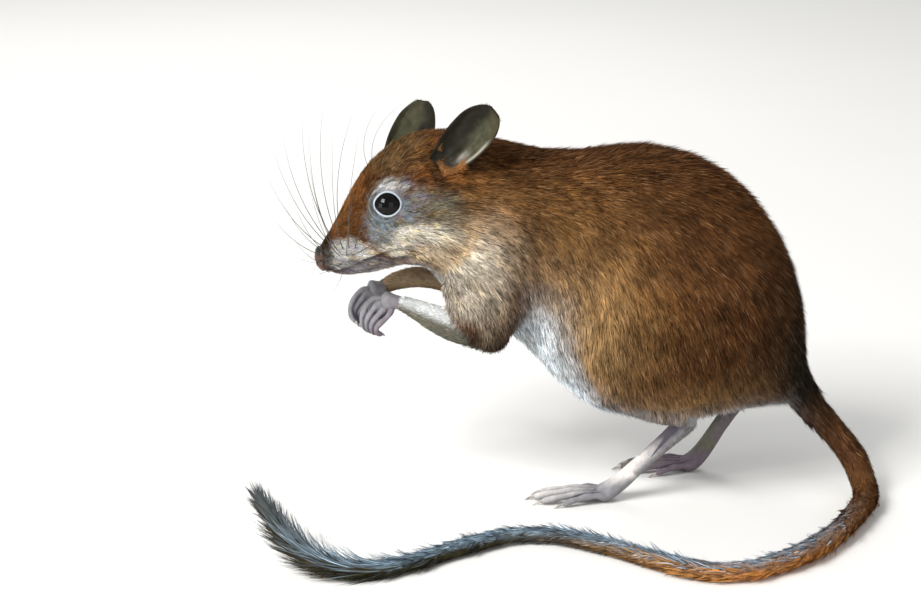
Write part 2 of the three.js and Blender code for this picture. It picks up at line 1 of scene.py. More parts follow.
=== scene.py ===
"""A life-size gerbil crouched on its long hind feet, dressed over its measured frame.

Sizes are millimetres in the gerbil's own frame until metres() turns them into the shared one: x runs
back from the muzzle, y towards its right side and z up from the floor. The head is described looking
straight ahead and then turned about the neck, as the animal turns it.
"""

import logging
import math
from collections.abc import Iterator
from contextlib import contextmanager
from dataclasses import dataclass, field
from enum import Enum

import bpy
import numpy as np
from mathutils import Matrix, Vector
from mathutils.bvhtree import BVHTree


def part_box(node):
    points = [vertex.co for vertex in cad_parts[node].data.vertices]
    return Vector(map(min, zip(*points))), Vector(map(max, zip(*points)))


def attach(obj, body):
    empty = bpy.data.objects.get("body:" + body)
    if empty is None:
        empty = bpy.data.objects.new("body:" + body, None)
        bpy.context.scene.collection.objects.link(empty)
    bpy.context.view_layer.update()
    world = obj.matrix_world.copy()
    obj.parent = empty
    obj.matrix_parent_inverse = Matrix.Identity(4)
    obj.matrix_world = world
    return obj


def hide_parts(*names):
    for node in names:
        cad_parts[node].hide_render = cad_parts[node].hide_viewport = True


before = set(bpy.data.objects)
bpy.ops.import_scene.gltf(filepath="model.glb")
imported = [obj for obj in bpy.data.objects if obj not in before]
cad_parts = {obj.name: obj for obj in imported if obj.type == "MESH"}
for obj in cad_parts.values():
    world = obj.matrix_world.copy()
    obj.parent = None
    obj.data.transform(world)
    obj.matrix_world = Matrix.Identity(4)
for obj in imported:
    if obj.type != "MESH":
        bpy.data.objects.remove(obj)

logging.basicConfig(level=logging.INFO, format="%(message)s")
log = logging.getLogger("gerbil")

Array = np.ndarray
Point = tuple[float, float, float]

MM = 0.001
LEFT, RIGHT = -1, 1
SIDES = {"left": LEFT, "right": RIGHT}
UP = np.array([0.0, 0.0, 1.0])
# The lowest that any hair hangs, in millimetres above the floor
HAIR_FLOOR = 0.12
# The size of one hair's patch on a bake map, as a share of the map
BAKE_PATCH = 0.003
# The sharpest fold within one island of an unwrap, and the gap between islands
UNWRAP_ANGLE, UNWRAP_GAP = math.radians(66), 0.001
# Large odd numbers that turn a place and a seed into one random-looking number
MIXERS = (73856093, 19349663, 83492791, 2654435761, 1274126177)


# Measures shared by several pieces


@dataclass(frozen=True)
class HeadTurn:
    """The turn of the head towards the left, shared out along the neck."""

    angle: float = math.radians(17.0)
    pivot: float = 9.0
    length: float = 16.0

    def share(self, x: Array) -> Array:
        """The angle of turn at each place x along the straight body."""
        return self.angle * smoothstep(self.pivot + self.length / 2 - x, 0.0, self.length)

    def rotate(self, points: Array, angle: Array) -> Array:
        """Points turned about the neck's upright axis by an angle each."""
        x, y = points[..., 0] - self.pivot, points[..., 1]
        c, s = np.cos(angle), np.sin(angle)
        return np.stack([self.pivot + x * c - y * s, x * s + y * c, points[..., 2]], axis=-1)

    def apply(self, points: Array) -> Array:
        """Points of the straight animal, moved to where the turned head has them."""
        return self.rotate(points, self.share(points[..., 0]))

    def undo(self, points: Array) -> tuple[Array, Array]:
        """The straight animal's points for points of the turned one.

        Args:
            points: rows of x, y, z in millimetres.

        Returns:
            The straightened rows, and the angle that each had been turned by.
        """
        angle = self.share(points[..., 0])
        for _ in range(3):
            angle = self.share(self.rotate(points, -angle)[..., 0])
        return self.rotate(points, -angle), angle

    def direction(self, ways: Array, angle: Array) -> Array:
        """Directions of the straight animal, turned by an angle each."""
        c, s = np.cos(angle), np.sin(angle)
        x, y = ways[..., 0], ways[..., 1]
        return np.stack([x * c - y * s, x * s + y * c, ways[..., 2]], axis=-1)


def smoothstep(x: Array, low: float, high: float) -> Array:
    """0 below low, 1 above high and a smooth rise between them."""
    t = np.clip((x - low) / (high - low), 0.0, 1.0)
    return t * t * (3.0 - 2.0 * t)


def unit(vectors: Array) -> Array:
    """Vectors scaled to length 1."""
    return vectors / np.maximum(np.linalg.norm(vectors, axis=-1, keepdims=True), 1e-9)


def left_half(points: Array) -> Array:
    """Points with those of the right side mirrored onto the left one."""
    return np.stack([points[:, 0], -np.abs(points[:, 1]), points[:, 2]], axis=1)


def linear(colour: tuple[int, int, int]) -> Array:
    """A paint-box colour of 0 to 255 as linear light."""
    value = np.array(colour, float) / 255.0
    return np.where(value <= 0.04045, value / 12.92, ((value + 0.055) / 1.055) ** 2.4)


def wobble(points: Array, size: float, seed: int) -> Array:
    """Smooth noise between -1 and 1, with lumps of about one size.

    Args:
        points: rows of x, y, z.
        size: the distance between lumps.
        seed: picks another pattern.

    Returns:
        One value for each row.
    """
    grid = points / size
    cell = np.floor(grid).astype(np.int64)
    part = grid - cell
    part = part * part * (3.0 - 2.0 * part)
    total = np.zeros(len(points))
    for corner in range(8):
        step = np.array([corner & 1, corner >> 1 & 1, corner >> 2 & 1])
        at = cell + step
        mixed = at[:, 0] * MIXERS[0] ^ at[:, 1] * MIXERS[1] ^ at[:, 2] * MIXERS[2] ^ seed * MIXERS[3]
        mixed = (mixed ^ mixed >> 13) * MIXERS[4] & 0xFFFFFFFF
        mixed = (mixed ^ mixed >> 15) & 0xFFFF
        weight = np.prod(np.where(step == 1, part, 1.0 - part), axis=1)
        total += weight * (mixed / 32767.5 - 1.0)
    return total


TURN = HeadTurn()


@dataclass(frozen=True)
class Eyes:
    """The two eyes: where they sit in the straight head, and their sizes."""

    centre: Point = (-21.3, -7.6, 77.5)
    look: Point = (-0.2, -0.9, 0.32)
    radius: float = 3.8
    opening: float = 2.72

    def at(self, side: int) -> Array:
        """The middle of one eye in the turned head."""
        x, y, z = self.centre
        return TURN.apply(np.array([[x, -y * side, z]]))[0]

    def way(self, side: int) -> Array:
        """The direction in which one eye looks out."""
        x, y, z = self.look
        return TURN.direction(unit(np.array([x, -y * side, z])), np.array(TURN.angle))


EYES = Eyes()
_low, _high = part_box("eye_left")
SHIFT = np.array(_low + _high) / 2 / MM - EYES.at(LEFT)


def metres(points: Array) -> Array:
    """Millimetres of the gerbil's own frame as metres of the shared one."""
    return (np.asarray(points, float) + SHIFT) * MM


def millimetres(points: Array) -> Array:
    """Metres of the shared frame as millimetres of the gerbil's own."""
    return np.asarray(points, float) / MM - SHIFT


# Working with meshes


def deselect() -> None:
    """Leaves no object selected."""
    bpy.ops.object.select_all(action="DESELECT")


def pick(item: bpy.types.Object) -> None:
    """Makes one object the only selected and active one."""
    deselect()
    item.select_set(True)
    bpy.context.view_layer.objects.active = item


@contextmanager
def edit_mode(item: bpy.types.Object) -> Iterator[None]:
    """Edit mode on one object, with all of it selected."""
    pick(item)
    bpy.ops.object.mode_set(mode="EDIT")
    bpy.ops.mesh.select_all(action="SELECT")
    yield
    bpy.ops.object.mode_set(mode="OBJECT")


def read_rows(
    items: bpy.types.bpy_prop_collection, name: str, width: int, kind: type = np.float32
) -> Array:
    """One measure of all the items of a mesh, as a row for each."""
    flat = np.zeros(len(items) * width, kind)
    items.foreach_get(name, flat)
    return flat.reshape(-1, width)


def read_points(mesh: bpy.types.Mesh) -> Array:
    """A mesh's vertices as rows of metres."""
    return read_rows(mesh.vertices, "co", 3).astype(float)


def write_points(mesh: bpy.types.Mesh, points: Array) -> None:
    """Moves a mesh's vertices to rows of metres."""
    mesh.vertices.foreach_set("co", points.astype(np.float32).ravel())
    mesh.update()


def read_normals(mesh: bpy.types.Mesh) -> Array:
    """The outward direction at each vertex."""
    return read_rows(mesh.vertex_normals, "vector", 3).astype(float)


def read_edges(mesh: bpy.types.Mesh) -> Array:
    """Each edge's two vertices."""
    return read_rows(mesh.edges, "vertices", 2, np.int32)


def read_triangles(mesh: bpy.types.Mesh) -> Array:
    """Each triangle's three vertices."""
    mesh.calc_loop_triangles()
    return read_rows(mesh.loop_triangles, "vertices", 3, np.int32)


def apply_modifier(item: bpy.types.Object, kind: str, **settings: object) -> None:
    """Adds a modifier with its settings and applies it."""
    pick(item)
    made = item.modifiers.new(kind.lower(), kind)
    for name, value in settings.items():
        setattr(made, name, value)
    bpy.ops.object.modifier_apply(modifier=made.name)


def shade_smooth(item: bpy.types.Object) -> None:
    """Smooth shading all over."""
    item.data.polygons.foreach_set("use_smooth", np.ones(len(item.data.polygons), bool))
    item.data.update()


def unwrap(item: bpy.types.Object) -> None:
    """Unwraps a piece by its own shape, as the map that its finish is baked on."""
    with edit_mode(item):
        bpy.ops.uv.smart_project(angle_limit=UNWRAP_ANGLE, island_margin=UNWRAP_GAP)
    item.data.uv_layers.active.name = "OFBake"


def build_mesh(name: str, points: Array, faces: list[Array]) -> bpy.types.Object:
    """One object from vertices and groups of faces.

    Args:
        name: the piece's name.
        points: rows of metres.
        faces: arrays of vertex numbers, each with faces of one number of corners.

    Returns:
        The new object, at the origin.
    """
    mesh = bpy.data.meshes.new(name)
    mesh.vertices.add(len(points))
    mesh.vertices.foreach_set("co", points.astype(np.float32).ravel())
    corners = np.concatenate([group.ravel() for group in faces])
    totals = np.concatenate([np.full(len(group), group.shape[1]) for group in faces])
    starts = np.concatenate([[0], np.cumsum(totals)[:-1]])
    mesh.loops.add(len(corners))
    mesh.loops.foreach_set("vertex_index", corners.astype(np.int32))
    mesh.polygons.add(len(totals))
    mesh.polygons.foreach_set("loop_start", starts.astype(np.int32))
    mesh.update(calc_edges=True)
    mesh.validate()
    item = bpy.data.objects.new(name, mesh)
    bpy.context.scene.collection.objects.link(item)
    return item


def paint(item: bpy.types.Object, name: str, colours: Array) -> None:
    """Stores a colour for each vertex."""
    layer = item.data.color_attributes.new(name, "FLOAT_COLOR", "POINT")
    rows = np.concatenate([colours, np.ones((len(colours), 1))], axis=1)
    layer.data.foreach_set("color", rows.astype(np.float32).ravel())


def relax(values: Array, edges: Array, weight: Array | float, rounds: int) -> Array:
    """Draws each vertex's value towards its neighbours' mean, again and again.

    Args:
        values: one row for each vertex.
        edges: pairs of vertices.
        weight: how far to go each time, from 0 to 1.
        rounds: how many times.

    Returns:
        The smoothed rows.
    """
    flat = values.reshape(len(values), -1)
    count = np.maximum(np.bincount(edges.ravel(), minlength=len(flat)), 1)
    weight = np.broadcast_to(np.asarray(weight, float), (len(flat),))
    for _ in range(rounds):
        mean = np.stack([
            np.bincount(edges[:, 0], column[edges[:, 1]], len(flat))
            + np.bincount(edges[:, 1], column[edges[:, 0]], len(flat))
            for column in flat.T
        ], axis=1) / count[:, None]
        flat = flat + (mean - flat) * weight[:, None]
    return flat.reshape(values.shape)


def crevices(points: Array, normals: Array, edges: Array, rounds: int, depth: float) -> Array:
    """How deep each vertex lies in a crevice, from 0 to 1 at some depth in millimetres."""
    around = relax(points, edges, 0.5, rounds)
    return np.clip(np.sum((around - points) * normals, axis=1) / (depth * MM), 0.0, 1.0)


# Lines and tubes


def follow(rows: Array, steps: int) -> Array:
    """A smooth line through some stations, in even steps.

    Args:
        rows: x, y, z and any further measures of each station.
        steps: how many rows to give back.

    Returns:
        The line's rows.
    """
    ends = np.vstack([2 * rows[0] - rows[1], rows, 2 * rows[-1] - rows[-2]])
    t = np.linspace(0.0, 1.0, 24, endpoint=False)[:, None]
    spans = []
    for a, b, c, d in zip(ends, ends[1:], ends[2:], ends[3:]):
        curve = 2 * b + (c - a) * t + (2 * a - 5 * b + 4 * c - d) * t**2
        spans.append((curve + (3 * b - a - 3 * c + d) * t**3) / 2)
    fine = np.vstack([*spans, rows[-1:]])
    gone = np.concatenate([[0.0], np.cumsum(np.linalg.norm(np.diff(fine[:, :3], axis=0), axis=1))])
    even = np.linspace(0.0, gone[-1], steps)
    return np.stack([np.interp(even, gone, column) for column in fine.T], axis=1)


@dataclass
class Form:
    """Points and faces gathered in millimetres for one mesh."""

    points: list[Array] = field(default_factory=list)
    faces: dict[int, list[Array]] = field(default_factory=dict)
    count: int = 0

    def add(self, points: Array, *faces: Array) -> None:
        """Adds rows of points, with faces that number them from 0."""
        for group in faces:
            self.faces.setdefault(group.shape[1], []).append(group + self.count)
        self.points.append(points)
        self.count += len(points)

    def tube(
        self, stations: Array, across: Array, sides: int = 12, steps: int = 24,
        blunt: tuple[float, float] = (0.0, 0.0),
    ) -> None:
        """Adds a closed tube along a smooth line.

        Args:
            stations: x, y, z, half-width and half-depth of each station.
            across: the direction of the half-width.
            sides: corners of each ring.
            steps: rings along the tube.
            blunt: the lengths over which its two ends round off.
        """
        line = follow(np.asarray(stations, float), steps)
        centre, half = line[:, :3], line[:, 3:5].copy()
        ahead = unit(np.gradient(centre, axis=0))
        side = unit(across - ahead * (ahead @ across)[:, None])
        over = np.cross(ahead, side)
        gone = np.concatenate([[0.0], np.cumsum(np.linalg.norm(np.diff(centre, axis=0), axis=1))])
        for reach, away in zip(blunt, (gone, gone[-1] - gone)):
            if reach:
                half *= np.sqrt(1.0 - (1.0 - np.clip(away / reach, 0.02, 1.0)) ** 2)[:, None]
        angle = np.linspace(0.0, 2 * math.pi, sides, endpoint=False)
        wide = (np.cos(angle) * half[:, :1])[..., None] * side[:, None]
        deep = (np.sin(angle) * half[:, 1:])[..., None] * over[:, None]
        rings = centre[:, None] + wide + deep
        here = np.arange(sides)
        after = (here + 1) % sides
        start = np.arange(steps - 1)[:, None] * sides
        ring = [start + here, start + after, start + sides + after, start + sides + here]
        first, last = steps * sides, steps * sides + 1
        end = (steps - 1) * sides
        caps = [
            np.stack([after, here, np.full(sides, first)], axis=1),
            np.stack([end + here, end + after, np.full(sides, last)], axis=1),
        ]
        points = np.vstack([rings.reshape(-1, 3), centre[:1], centre[-1:]])
        self.add(points, np.stack(ring, axis=-1).reshape(-1, 4), *caps)

    def build(self, name: str) -> bpy.types.Object:
        """Makes the one object."""
        return build_mesh(name, metres(np.vstack(self.points)), [np.vstack(g) for g in self.faces.values()])


# The tail's own line


TAIL_STATIONS = np.array([
    (84.2, 0.0, 28.6, 4.8),
    (86.0, 0.0, 24.6, 4.4),
    (90.4, -0.5, 19.2, 4.1),
    (95.2, -2.0, 14.2, 3.9),
    (99.2, -4.6, 8.8, 3.8),
    (101.0, -9.6, 4.4, 3.6),
    (100.6, -18.0, 3.3, 3.5),
    (97.0, -29.0, 3.1, 3.3),
    (90.6, -42.6, 3.0, 3.2),
    (83.2, -53.4, 2.9, 3.1),
    (74.6, -61.8, 2.8, 3.0),
    (66.4, -66.4, 2.7, 2.9),
    (58.6, -67.0, 2.6, 2.8),
    (51.0, -63.0, 2.6, 2.7),
    (42.2, -55.4, 2.5, 2.6),
    (34.4, -48.6, 2.4, 2.5),
    (25.6, -42.8, 2.4, 2.5),
    (17.0, -41.0, 2.3, 2.4),
    (8.0, -44.4, 2.3, 2.4),
    (-3.4, -53.0, 2.3, 2.4),
    (-13.0, -61.0, 2.3, 2.4),
    (-20.6, -65.0, 2.4, 2.4),
    (-27.0, -65.2, 2.8, 2.4),
    (-33.2, -62.6, 3.8, 2.2),
    (-38.8, -57.8, 5.8, 1.8),
    (-43.2, -52.0, 8.2, 1.3),
    (-46.2, -46.8, 10.6, 0.8),
])


@dataclass
class TailLine:
    """The tail's middle line with its half-width, evenly stepped from the rump to the tip."""

    steps: int = 480
    points: Array = field(init=False)
    radius: Array = field(init=False)
    ahead: Array = field(init=False)
    length: float = field(init=False)

    def __post_init__(self) -> None:
        """Draws the smooth line through the stations."""
        line = follow(TAIL_STATIONS, self.steps)
        self.points, self.radius = line[:, :3], line[:, 3]
        self.ahead = unit(np.gradient(self.points, axis=0))
        self.length = float(np.sum(np.linalg.norm(np.diff(self.points, axis=0), axis=1)))

    def place(self, share: Array) -> tuple[Array, Array, Array]:
        """The middle, direction and half-width at shares of the tail's length.

        Args:
            share: 0 at the rump and 1 at the tip; past 1 the line runs straight on.

        Returns:
            Rows of middles and directions, and the half-widths.
        """
        at = np.clip(share, 0.0, 1.0) * (self.steps - 1)
        steps = np.arange(self.steps)
        middle = np.stack([np.interp(at, steps, column) for column in self.points.T], axis=1)
        ahead = unit(np.stack([np.interp(at, steps, column) for column in self.ahead.T], axis=1))
        middle = middle + ahead * (np.maximum(share - 1.0, 0.0) * self.length)[:, None]
        return middle, ahead, np.interp(at, steps, self.radius)

    def nearest(self, points: Array) -> Array:
        """The share of the tail's length nearest to each point."""
        best = np.full(len(points), 1e9)
        found = np.zeros(len(points))
        for step in range(0, self.steps, 2):
            away = np.sum((points - self.points[step]) ** 2, axis=1)
            closer = away < best
            best[closer] = away[closer]
            found[closer] = step / (self.steps - 1)
        return found

    def across(self, ahead: Array) -> tuple[Array, Array]:
        """The directions up and aside, to the left of the way ahead, of the tail."""
        aside = unit(np.cross(UP, ahead))
        return np.cross(ahead, aside), aside


TAIL = TailLine()
# The length of the tail's short coat, under its bristles
TAIL_HAIR = 3.2


# Colours of the coat and skin


class Fur(Enum):
    """The colours of the coat, as a painter would mix them."""

    CHESTNUT = (94, 60, 31)
    RUSSET = (74, 47, 27)
    UMBER = (46, 33, 22)
    RUST = (142, 94, 50)
    HAZEL = (104, 82, 54)
    TAWNY = (146, 106, 60)
    HONEY = (176, 142, 96)
    SAND = (180, 156, 124)
    CREAM = (208, 202, 186)
    WHITE = (214, 216, 214)
    PEWTER = (106, 103, 90)
    ASH = (128, 126, 129)
    # Painted shade for the crevices between the digits
    DUSK = (58, 52, 66)
    PEARL = (212, 206, 201)
    SKY = (148, 170, 186)
    AMBER = (188, 128, 66)
    MOSS = (86, 88, 70)
    SNOW = (236, 247, 255)
    BLUE_GREY = (120, 132, 142)
    LILAC = (112, 100, 108)
    OLIVE = (72, 68, 48)
    STEEL = (138, 152, 160)
    BLACKISH = (28, 26, 20)

    @property
    def light(self) -> Array:
        """The colour as linear light."""
        return linear(self.value)


@dataclass(frozen=True)
class Marking:
    """A patch of colour on the straight animal, the same on both sides; some patches are painted shade."""

    colour: Fur
    at: Point
    reach: Point
    strength: float = 1.0
    edge: float = 0.3
    on: tuple[str, ...] = ("head", "neck", "torso", "thigh", "upper_arm")
    mottle: float = 0.0

    def mask(self, points: Array, ragged: Array) -> Array:
        """How much of the patch shows at each point, with a ragged edge."""
        away = np.linalg.norm((left_half(points) - self.at) / self.reach, axis=1)
        return self.strength * (1.0 - smoothstep(away + ragged, 1.0 - self.edge, 1.0 + self.edge))


TRUNK, HAUNCH, ARM, HEAD = ("neck", "torso"), ("torso", "thigh"), ("upper_arm",), ("head", "neck")
MARKINGS = (
    Marking(Fur.RUSSET, (52.0, 0.0, 91.0), (46.0, 20.0, 10.0), 0.6),
    Marking(Fur.TAWNY, (25.0, -17.0, 68.0), (9.0, 10.0, 14.0), 0.95, 0.4, TRUNK),
    Marking(Fur.TAWNY, (34.0, -24.0, 57.0), (12.0, 15.0, 15.0), 0.6, 0.45, HAUNCH, 0.4),
    Marking(Fur.HONEY, (30.0, -21.0, 51.0), (7.0, 10.0, 16.0), 1.0, 0.35, HAUNCH, 0.2),
    Marking(Fur.RUSSET, (47.0, -19.0, 74.0), (19.0, 9.0, 7.5), 0.85, 0.4, HAUNCH, 0.3),
    Marking(Fur.OLIVE, (39.0, -27.0, 42.0), (11.0, 9.0, 6.0), 0.6, 0.4, HAUNCH, 0.3),
    Marking(Fur.RUSSET, (67.0, -22.0, 55.0), (15.0, 16.0, 24.0), 0.75, 0.4, HAUNCH),
    # Painted shade: the rump is painted dark brown to near-black where it lies in shade.
    Marking(Fur.UMBER, (84.0, 0.0, 52.0), (10.0, 22.0, 24.0), 0.6, 0.4, HAUNCH),
    Marking(Fur.BLACKISH, (84.0, 0.0, 38.0), (14.0, 25.0, 15.0), 1.0, 0.35, HAUNCH),
    # Painted shade: a dark band in the crease behind the shoulder.
    Marking(Fur.UMBER, (14.8, -15.0, 70.0), (3.2, 14.0, 17.0), 0.75, 0.45, ("neck", "torso", "upper_arm")),
    Marking(Fur.HONEY, (52.0, -18.0, 28.0), (23.0, 10.0, 5.0), 0.8, 0.5, HAUNCH, 0.4),
    Marking(Fur.SNOW, (18.0, -6.0, 45.0), (7.0, 28.0, 12.0), 1.0, 0.08, TRUNK),
    Marking(Fur.SNOW, (23.0, -4.0, 31.0), (8.0, 16.0, 12.0), 1.0, 0.14, HAUNCH),
    Marking(Fur.SNOW, (50.0, 0.0, 17.5), (34.0, 15.0, 8.0), 1.0, 0.2, HAUNCH),
    Marking(Fur.SNOW, (2.0, 0.0, 48.0), (12.0, 11.0, 14.0), 0.9, 0.2, ("neck",)),
    Marking(Fur.SAND, (3.0, -18.0, 60.0), (9.0, 10.0, 12.0), 0.8, 0.4, ARM),
    Marking(Fur.TAWNY, (4.0, -15.5, 73.0), (7.5, 8.0, 8.0), 0.7, 0.4, ("neck", "upper_arm"), 0.3),
    Marking(Fur.CREAM, (-4.0, -14.0, 59.0), (8.0, 9.0, 11.0), 0.6, 0.35, ("upper_arm", "neck"), 0.2),
    Marking(Fur.CREAM, (-5.0, -15.0, 65.5), (6.0, 9.0, 7.0), 0.6, 0.5, ("upper_arm", "neck"), 0.2),
    # Painted shade: the upper arm darkens along its rear edge and underneath towards the elbow.
    Marking(Fur.RUSSET, (11.0, -18.0, 56.0), (4.4, 9.0, 18.0), 0.9, 0.45, ARM),
    Marking(Fur.RUSSET, (5.0, -17.0, 44.5), (14.0, 10.0, 7.5), 0.85, 0.45, ARM),
    Marking(Fur.RUSSET, (-3.0, -14.0, 46.0), (8.0, 8.0, 5.0), 0.8, 0.4, ARM),
    Marking(Fur.UMBER, (5.0, -15.0, 40.0), (14.0, 10.0, 9.4), 1.0, 0.35, ARM),
    Marking(Fur.RUST, (-9.0, -7.5, 88.5), (1.8, 4.5, 4.0), 0.6, 0.5, ("head",)),
    Marking(Fur.TAWNY, (-2.0, -14.0, 76.0), (8.0, 7.0, 7.0), 0.5, 0.4, ("neck", "upper_arm")),
    Marking(Fur.SAND, (-6.0, -14.5, 70.0), (8.0, 7.0, 5.5), 0.75, 0.4, HEAD),
    Marking(Fur.HAZEL, (-19.0, 0.0, 88.0), (8.0, 9.0, 6.0), 0.75, 0.4, HEAD, 0.3),
    Marking(Fur.RUST, (-29.5, 0.0, 76.0), (6.5, 3.2, 9.0), 0.8, 0.35, HEAD, 0.3),
    Marking(Fur.PEWTER, (-12.5, -12.5, 76.5), (7.5, 5.0, 5.4), 0.85, 0.4, HEAD, 0.2),
    Marking(Fur.PEWTER, (-22.0, -9.5, 76.0), (5.4, 5.5, 7.4), 0.8, 0.3, HEAD, 0.2),
    Marking(Fur.BLUE_GREY, (-20.5, -9.5, 76.5), (6.4, 5.5, 7.2), 0.8, 0.3, HEAD, 0.9),
    Marking(Fur.LILAC, (-18.0, -10.0, 79.0), (6.0, 5.0, 5.0), 0.7, 0.4, HEAD, 1.0),
    Marking(Fur.WHITE, (-22.0, -8.5, 82.2), (4.6, 3.0, 1.8), 0.6, 0.4, HEAD, 0.5),
    Marking(Fur.STEEL, (-24.4, -8.5, 72.4), (3.6, 4.0, 5.0), 0.75, 0.4, HEAD, 0.6),
    Marking(Fur.CREAM, (-14.5, -13.0, 70.3), (8.5, 5.0, 3.4), 1.0, 0.3, HEAD, 0.2),
    Marking(Fur.CREAM, (-17.0, -11.5, 67.3), (8.0, 6.0, 2.8), 0.95, 0.3, HEAD),
    Marking(Fur.SAND, (-9.0, -13.0, 64.0), (10.0, 8.0, 6.0), 0.8, 0.35, HEAD, 0.2),
    Marking(Fur.WHITE, (-31.5, -6.0, 65.0), (7.0, 4.6, 4.6), 0.9, 0.2, HEAD, 0.3),
    Marking(Fur.UMBER, (-36.4, -2.6, 63.8), (2.4, 2.6, 4.2), 0.9, 0.25, HEAD),
    Marking(Fur.ASH, (-23.0, -6.0, 61.8), (13.0, 8.0, 3.0), 0.9, 0.3, HEAD, 0.3),
    # Painted shadow: a darker lilac band along the chin's lower edge, under the jaw.
    Marking(Fur.LILAC, (-26.0, -4.0, 59.4), (10.0, 7.0, 1.8), 0.85, 0.4, HEAD, 0.2),
    Marking(Fur.WHITE, (-12.0, 0.0, 57.0), (20.0, 8.0, 5.0), 0.75, 0.3, HEAD),
    Marking(Fur.UMBER, (-36.0, 0.0, 67.0), (3.4, 2.8, 2.8), 0.85, 0.4, HEAD),
    Marking(Fur.UMBER, (-9.6, -10.6, 84.6), (2.0, 3.0, 3.0), 0.7, 0.5, HEAD),
    Marking(Fur.RUST, (-5.4, -10.6, 85.0), (5.4, 4.0, 1.8), 1.0, 0.3, HEAD),
)


def marked(points: Array, names: Array) -> Array:
    """The trunk's colour at points of the straight animal, with painted shade in some patches.

    Args:
        points: rows of millimetres.
        names: the name of the part that each one belongs to.

    Returns:
        Rows of linear colour.
    """
    ragged = 0.1 * wobble(points, 1.4, 3) + 0.1 * wobble(points, 5.0, 4)
    colours = np.tile(Fur.CHESTNUT.light, (len(points), 1))
    for number, marking in enumerate(MARKINGS):
        on = np.isin(names, [name for name in FLESH if name.startswith(marking.on)])
        share = marking.mask(points, ragged) * on
        if marking.mottle:
            mottled = wobble(points * [0.5, 1.0, 1.0], 0.9, 60 + number)
            share = share * np.clip(1.0 - marking.mottle * (0.5 + 1.3 * mottled), 0.0, 1.0)
        share = share[:, None]
        colours = colours * (1.0 - share) + marking.colour.light * share
    return colours


# How the coat lies


@dataclass(frozen=True)
class Comb:
    """How the coat lies about one spot of the straight animal: which way, and how long it is."""

    at: Point
    lie: Point
    length: float


COMBS = (
    Comb((-37.0, 0.0, 66.0), (0.55, 0.0, 0.8), 1.2),
    Comb((-28.0, 0.0, 80.0), (0.6, 0.0, 0.8), 2.5),
    Comb((-18.0, 0.0, 90.5), (0.85, 0.0, 0.4), 3.0),
    Comb((-8.0, 0.0, 93.5), (1.0, 0.0, 0.0), 3.2),
    Comb((4.0, 0.0, 92.0), (1.0, 0.0, -0.2), 3.8),
    Comb((-31.0, -6.0, 65.0), (0.9, -0.3, -0.05), 1.2),
    Comb((-30.0, -4.0, 60.0), (0.9, -0.2, -0.4), 1.3),
    Comb((-22.0, -10.0, 66.0), (0.9, -0.3, -0.25), 2.0),
    Comb((-21.5, -11.0, 71.5), (0.9, -0.3, -0.25), 1.2),
    Comb((-26.0, -8.0, 76.0), (0.75, -0.3, 0.3), 1.2),
    Comb((-21.0, -9.0, 84.0), (0.85, -0.15, 0.25), 1.6),
    Comb((-15.0, -12.0, 78.0), (0.95, -0.2, 0.05), 1.7),
    Comb((-8.0, -13.5, 80.0), (0.95, -0.1, -0.1), 2.6),
    Comb((-8.0, -14.5, 68.0), (0.85, -0.1, -0.45), 3.4),
    Comb((-14.0, -9.0, 60.0), (0.85, -0.1, -0.4), 2.4),
    Comb((-22.0, 0.0, 60.0), (0.95, 0.0, -0.2), 1.8),
    Comb((-4.0, 0.0, 53.0), (0.75, 0.0, -0.6), 2.6),
    Comb((4.0, -15.0, 74.0), (0.8, -0.1, -0.55), 4.0),
    Comb((9.0, -19.0, 62.0), (0.2, -0.15, -0.95), 3.4),
    Comb((6.0, -20.0, 48.0), (0.1, -0.1, -1.0), 2.8),
    Comb((4.0, 0.0, 46.0), (0.55, 0.0, -0.8), 3.4),
    Comb((24.0, 0.0, 29.0), (0.8, 0.0, -0.6), 5.0),
    Comb((50.0, 0.0, 18.7), (1.0, 0.0, 0.0), 5.0),
    Comb((76.0, 0.0, 22.0), (1.0, 0.0, -0.1), 4.6),
    Comb((20.0, 0.0, 87.0), (1.0, 0.0, 0.0), 4.4),
    Comb((36.0, 0.0, 88.0), (1.0, 0.0, 0.1), 6.2),
    Comb((48.0, 0.0, 89.5), (1.0, 0.0, -0.05), 5.8),
    Comb((65.0, 0.0, 82.0), (0.8, 0.0, -0.6), 6.0),
    Comb((80.0, 0.0, 62.0), (0.4, 0.0, -0.9), 6.2),
    Comb((86.0, 0.0, 40.0), (0.15, 0.0, -1.0), 5.6),
    Comb((40.0, -19.0, 74.0), (0.85, -0.1, -0.45), 5.6),
    Comb((25.0, -18.0, 61.0), (0.3, -0.1, -0.95), 4.6),
    Comb((27.0, -19.0, 52.0), (-0.05, -0.1, -1.0), 4.8),
    Comb((20.5, -16.0, 51.0), (0.05, -0.1, -1.0), 3.4),
    Comb((20.0, -15.0, 40.0), (0.25, -0.1, -0.95), 4.0),
    Comb((54.0, -24.0, 62.0), (0.4, -0.1, -0.9), 5.8),
    Comb((36.0, -26.0, 48.0), (0.05, -0.1, -1.0), 5.4),
    Comb((55.0, -27.0, 46.0), (0.15, -0.1, -1.0), 5.8),
    Comb((72.0, -22.0, 46.0), (0.25, -0.1, -1.0), 5.8),
    Comb((50.0, -24.0, 32.0), (0.15, 0.0, -1.0), 5.6),
    Comb((32.0, -20.0, 33.0), (0.5, 0.05, -0.9), 4.6),
)


@dataclass(frozen=True)
class Limb:
    """A part of a limb whose coat lies along it: its ends, the coat's length, its colour on top and a
    darker colour underneath as painted shade.
    """

    start: Point
    end: Point
    length: float
    colour: Fur
    under: Fur


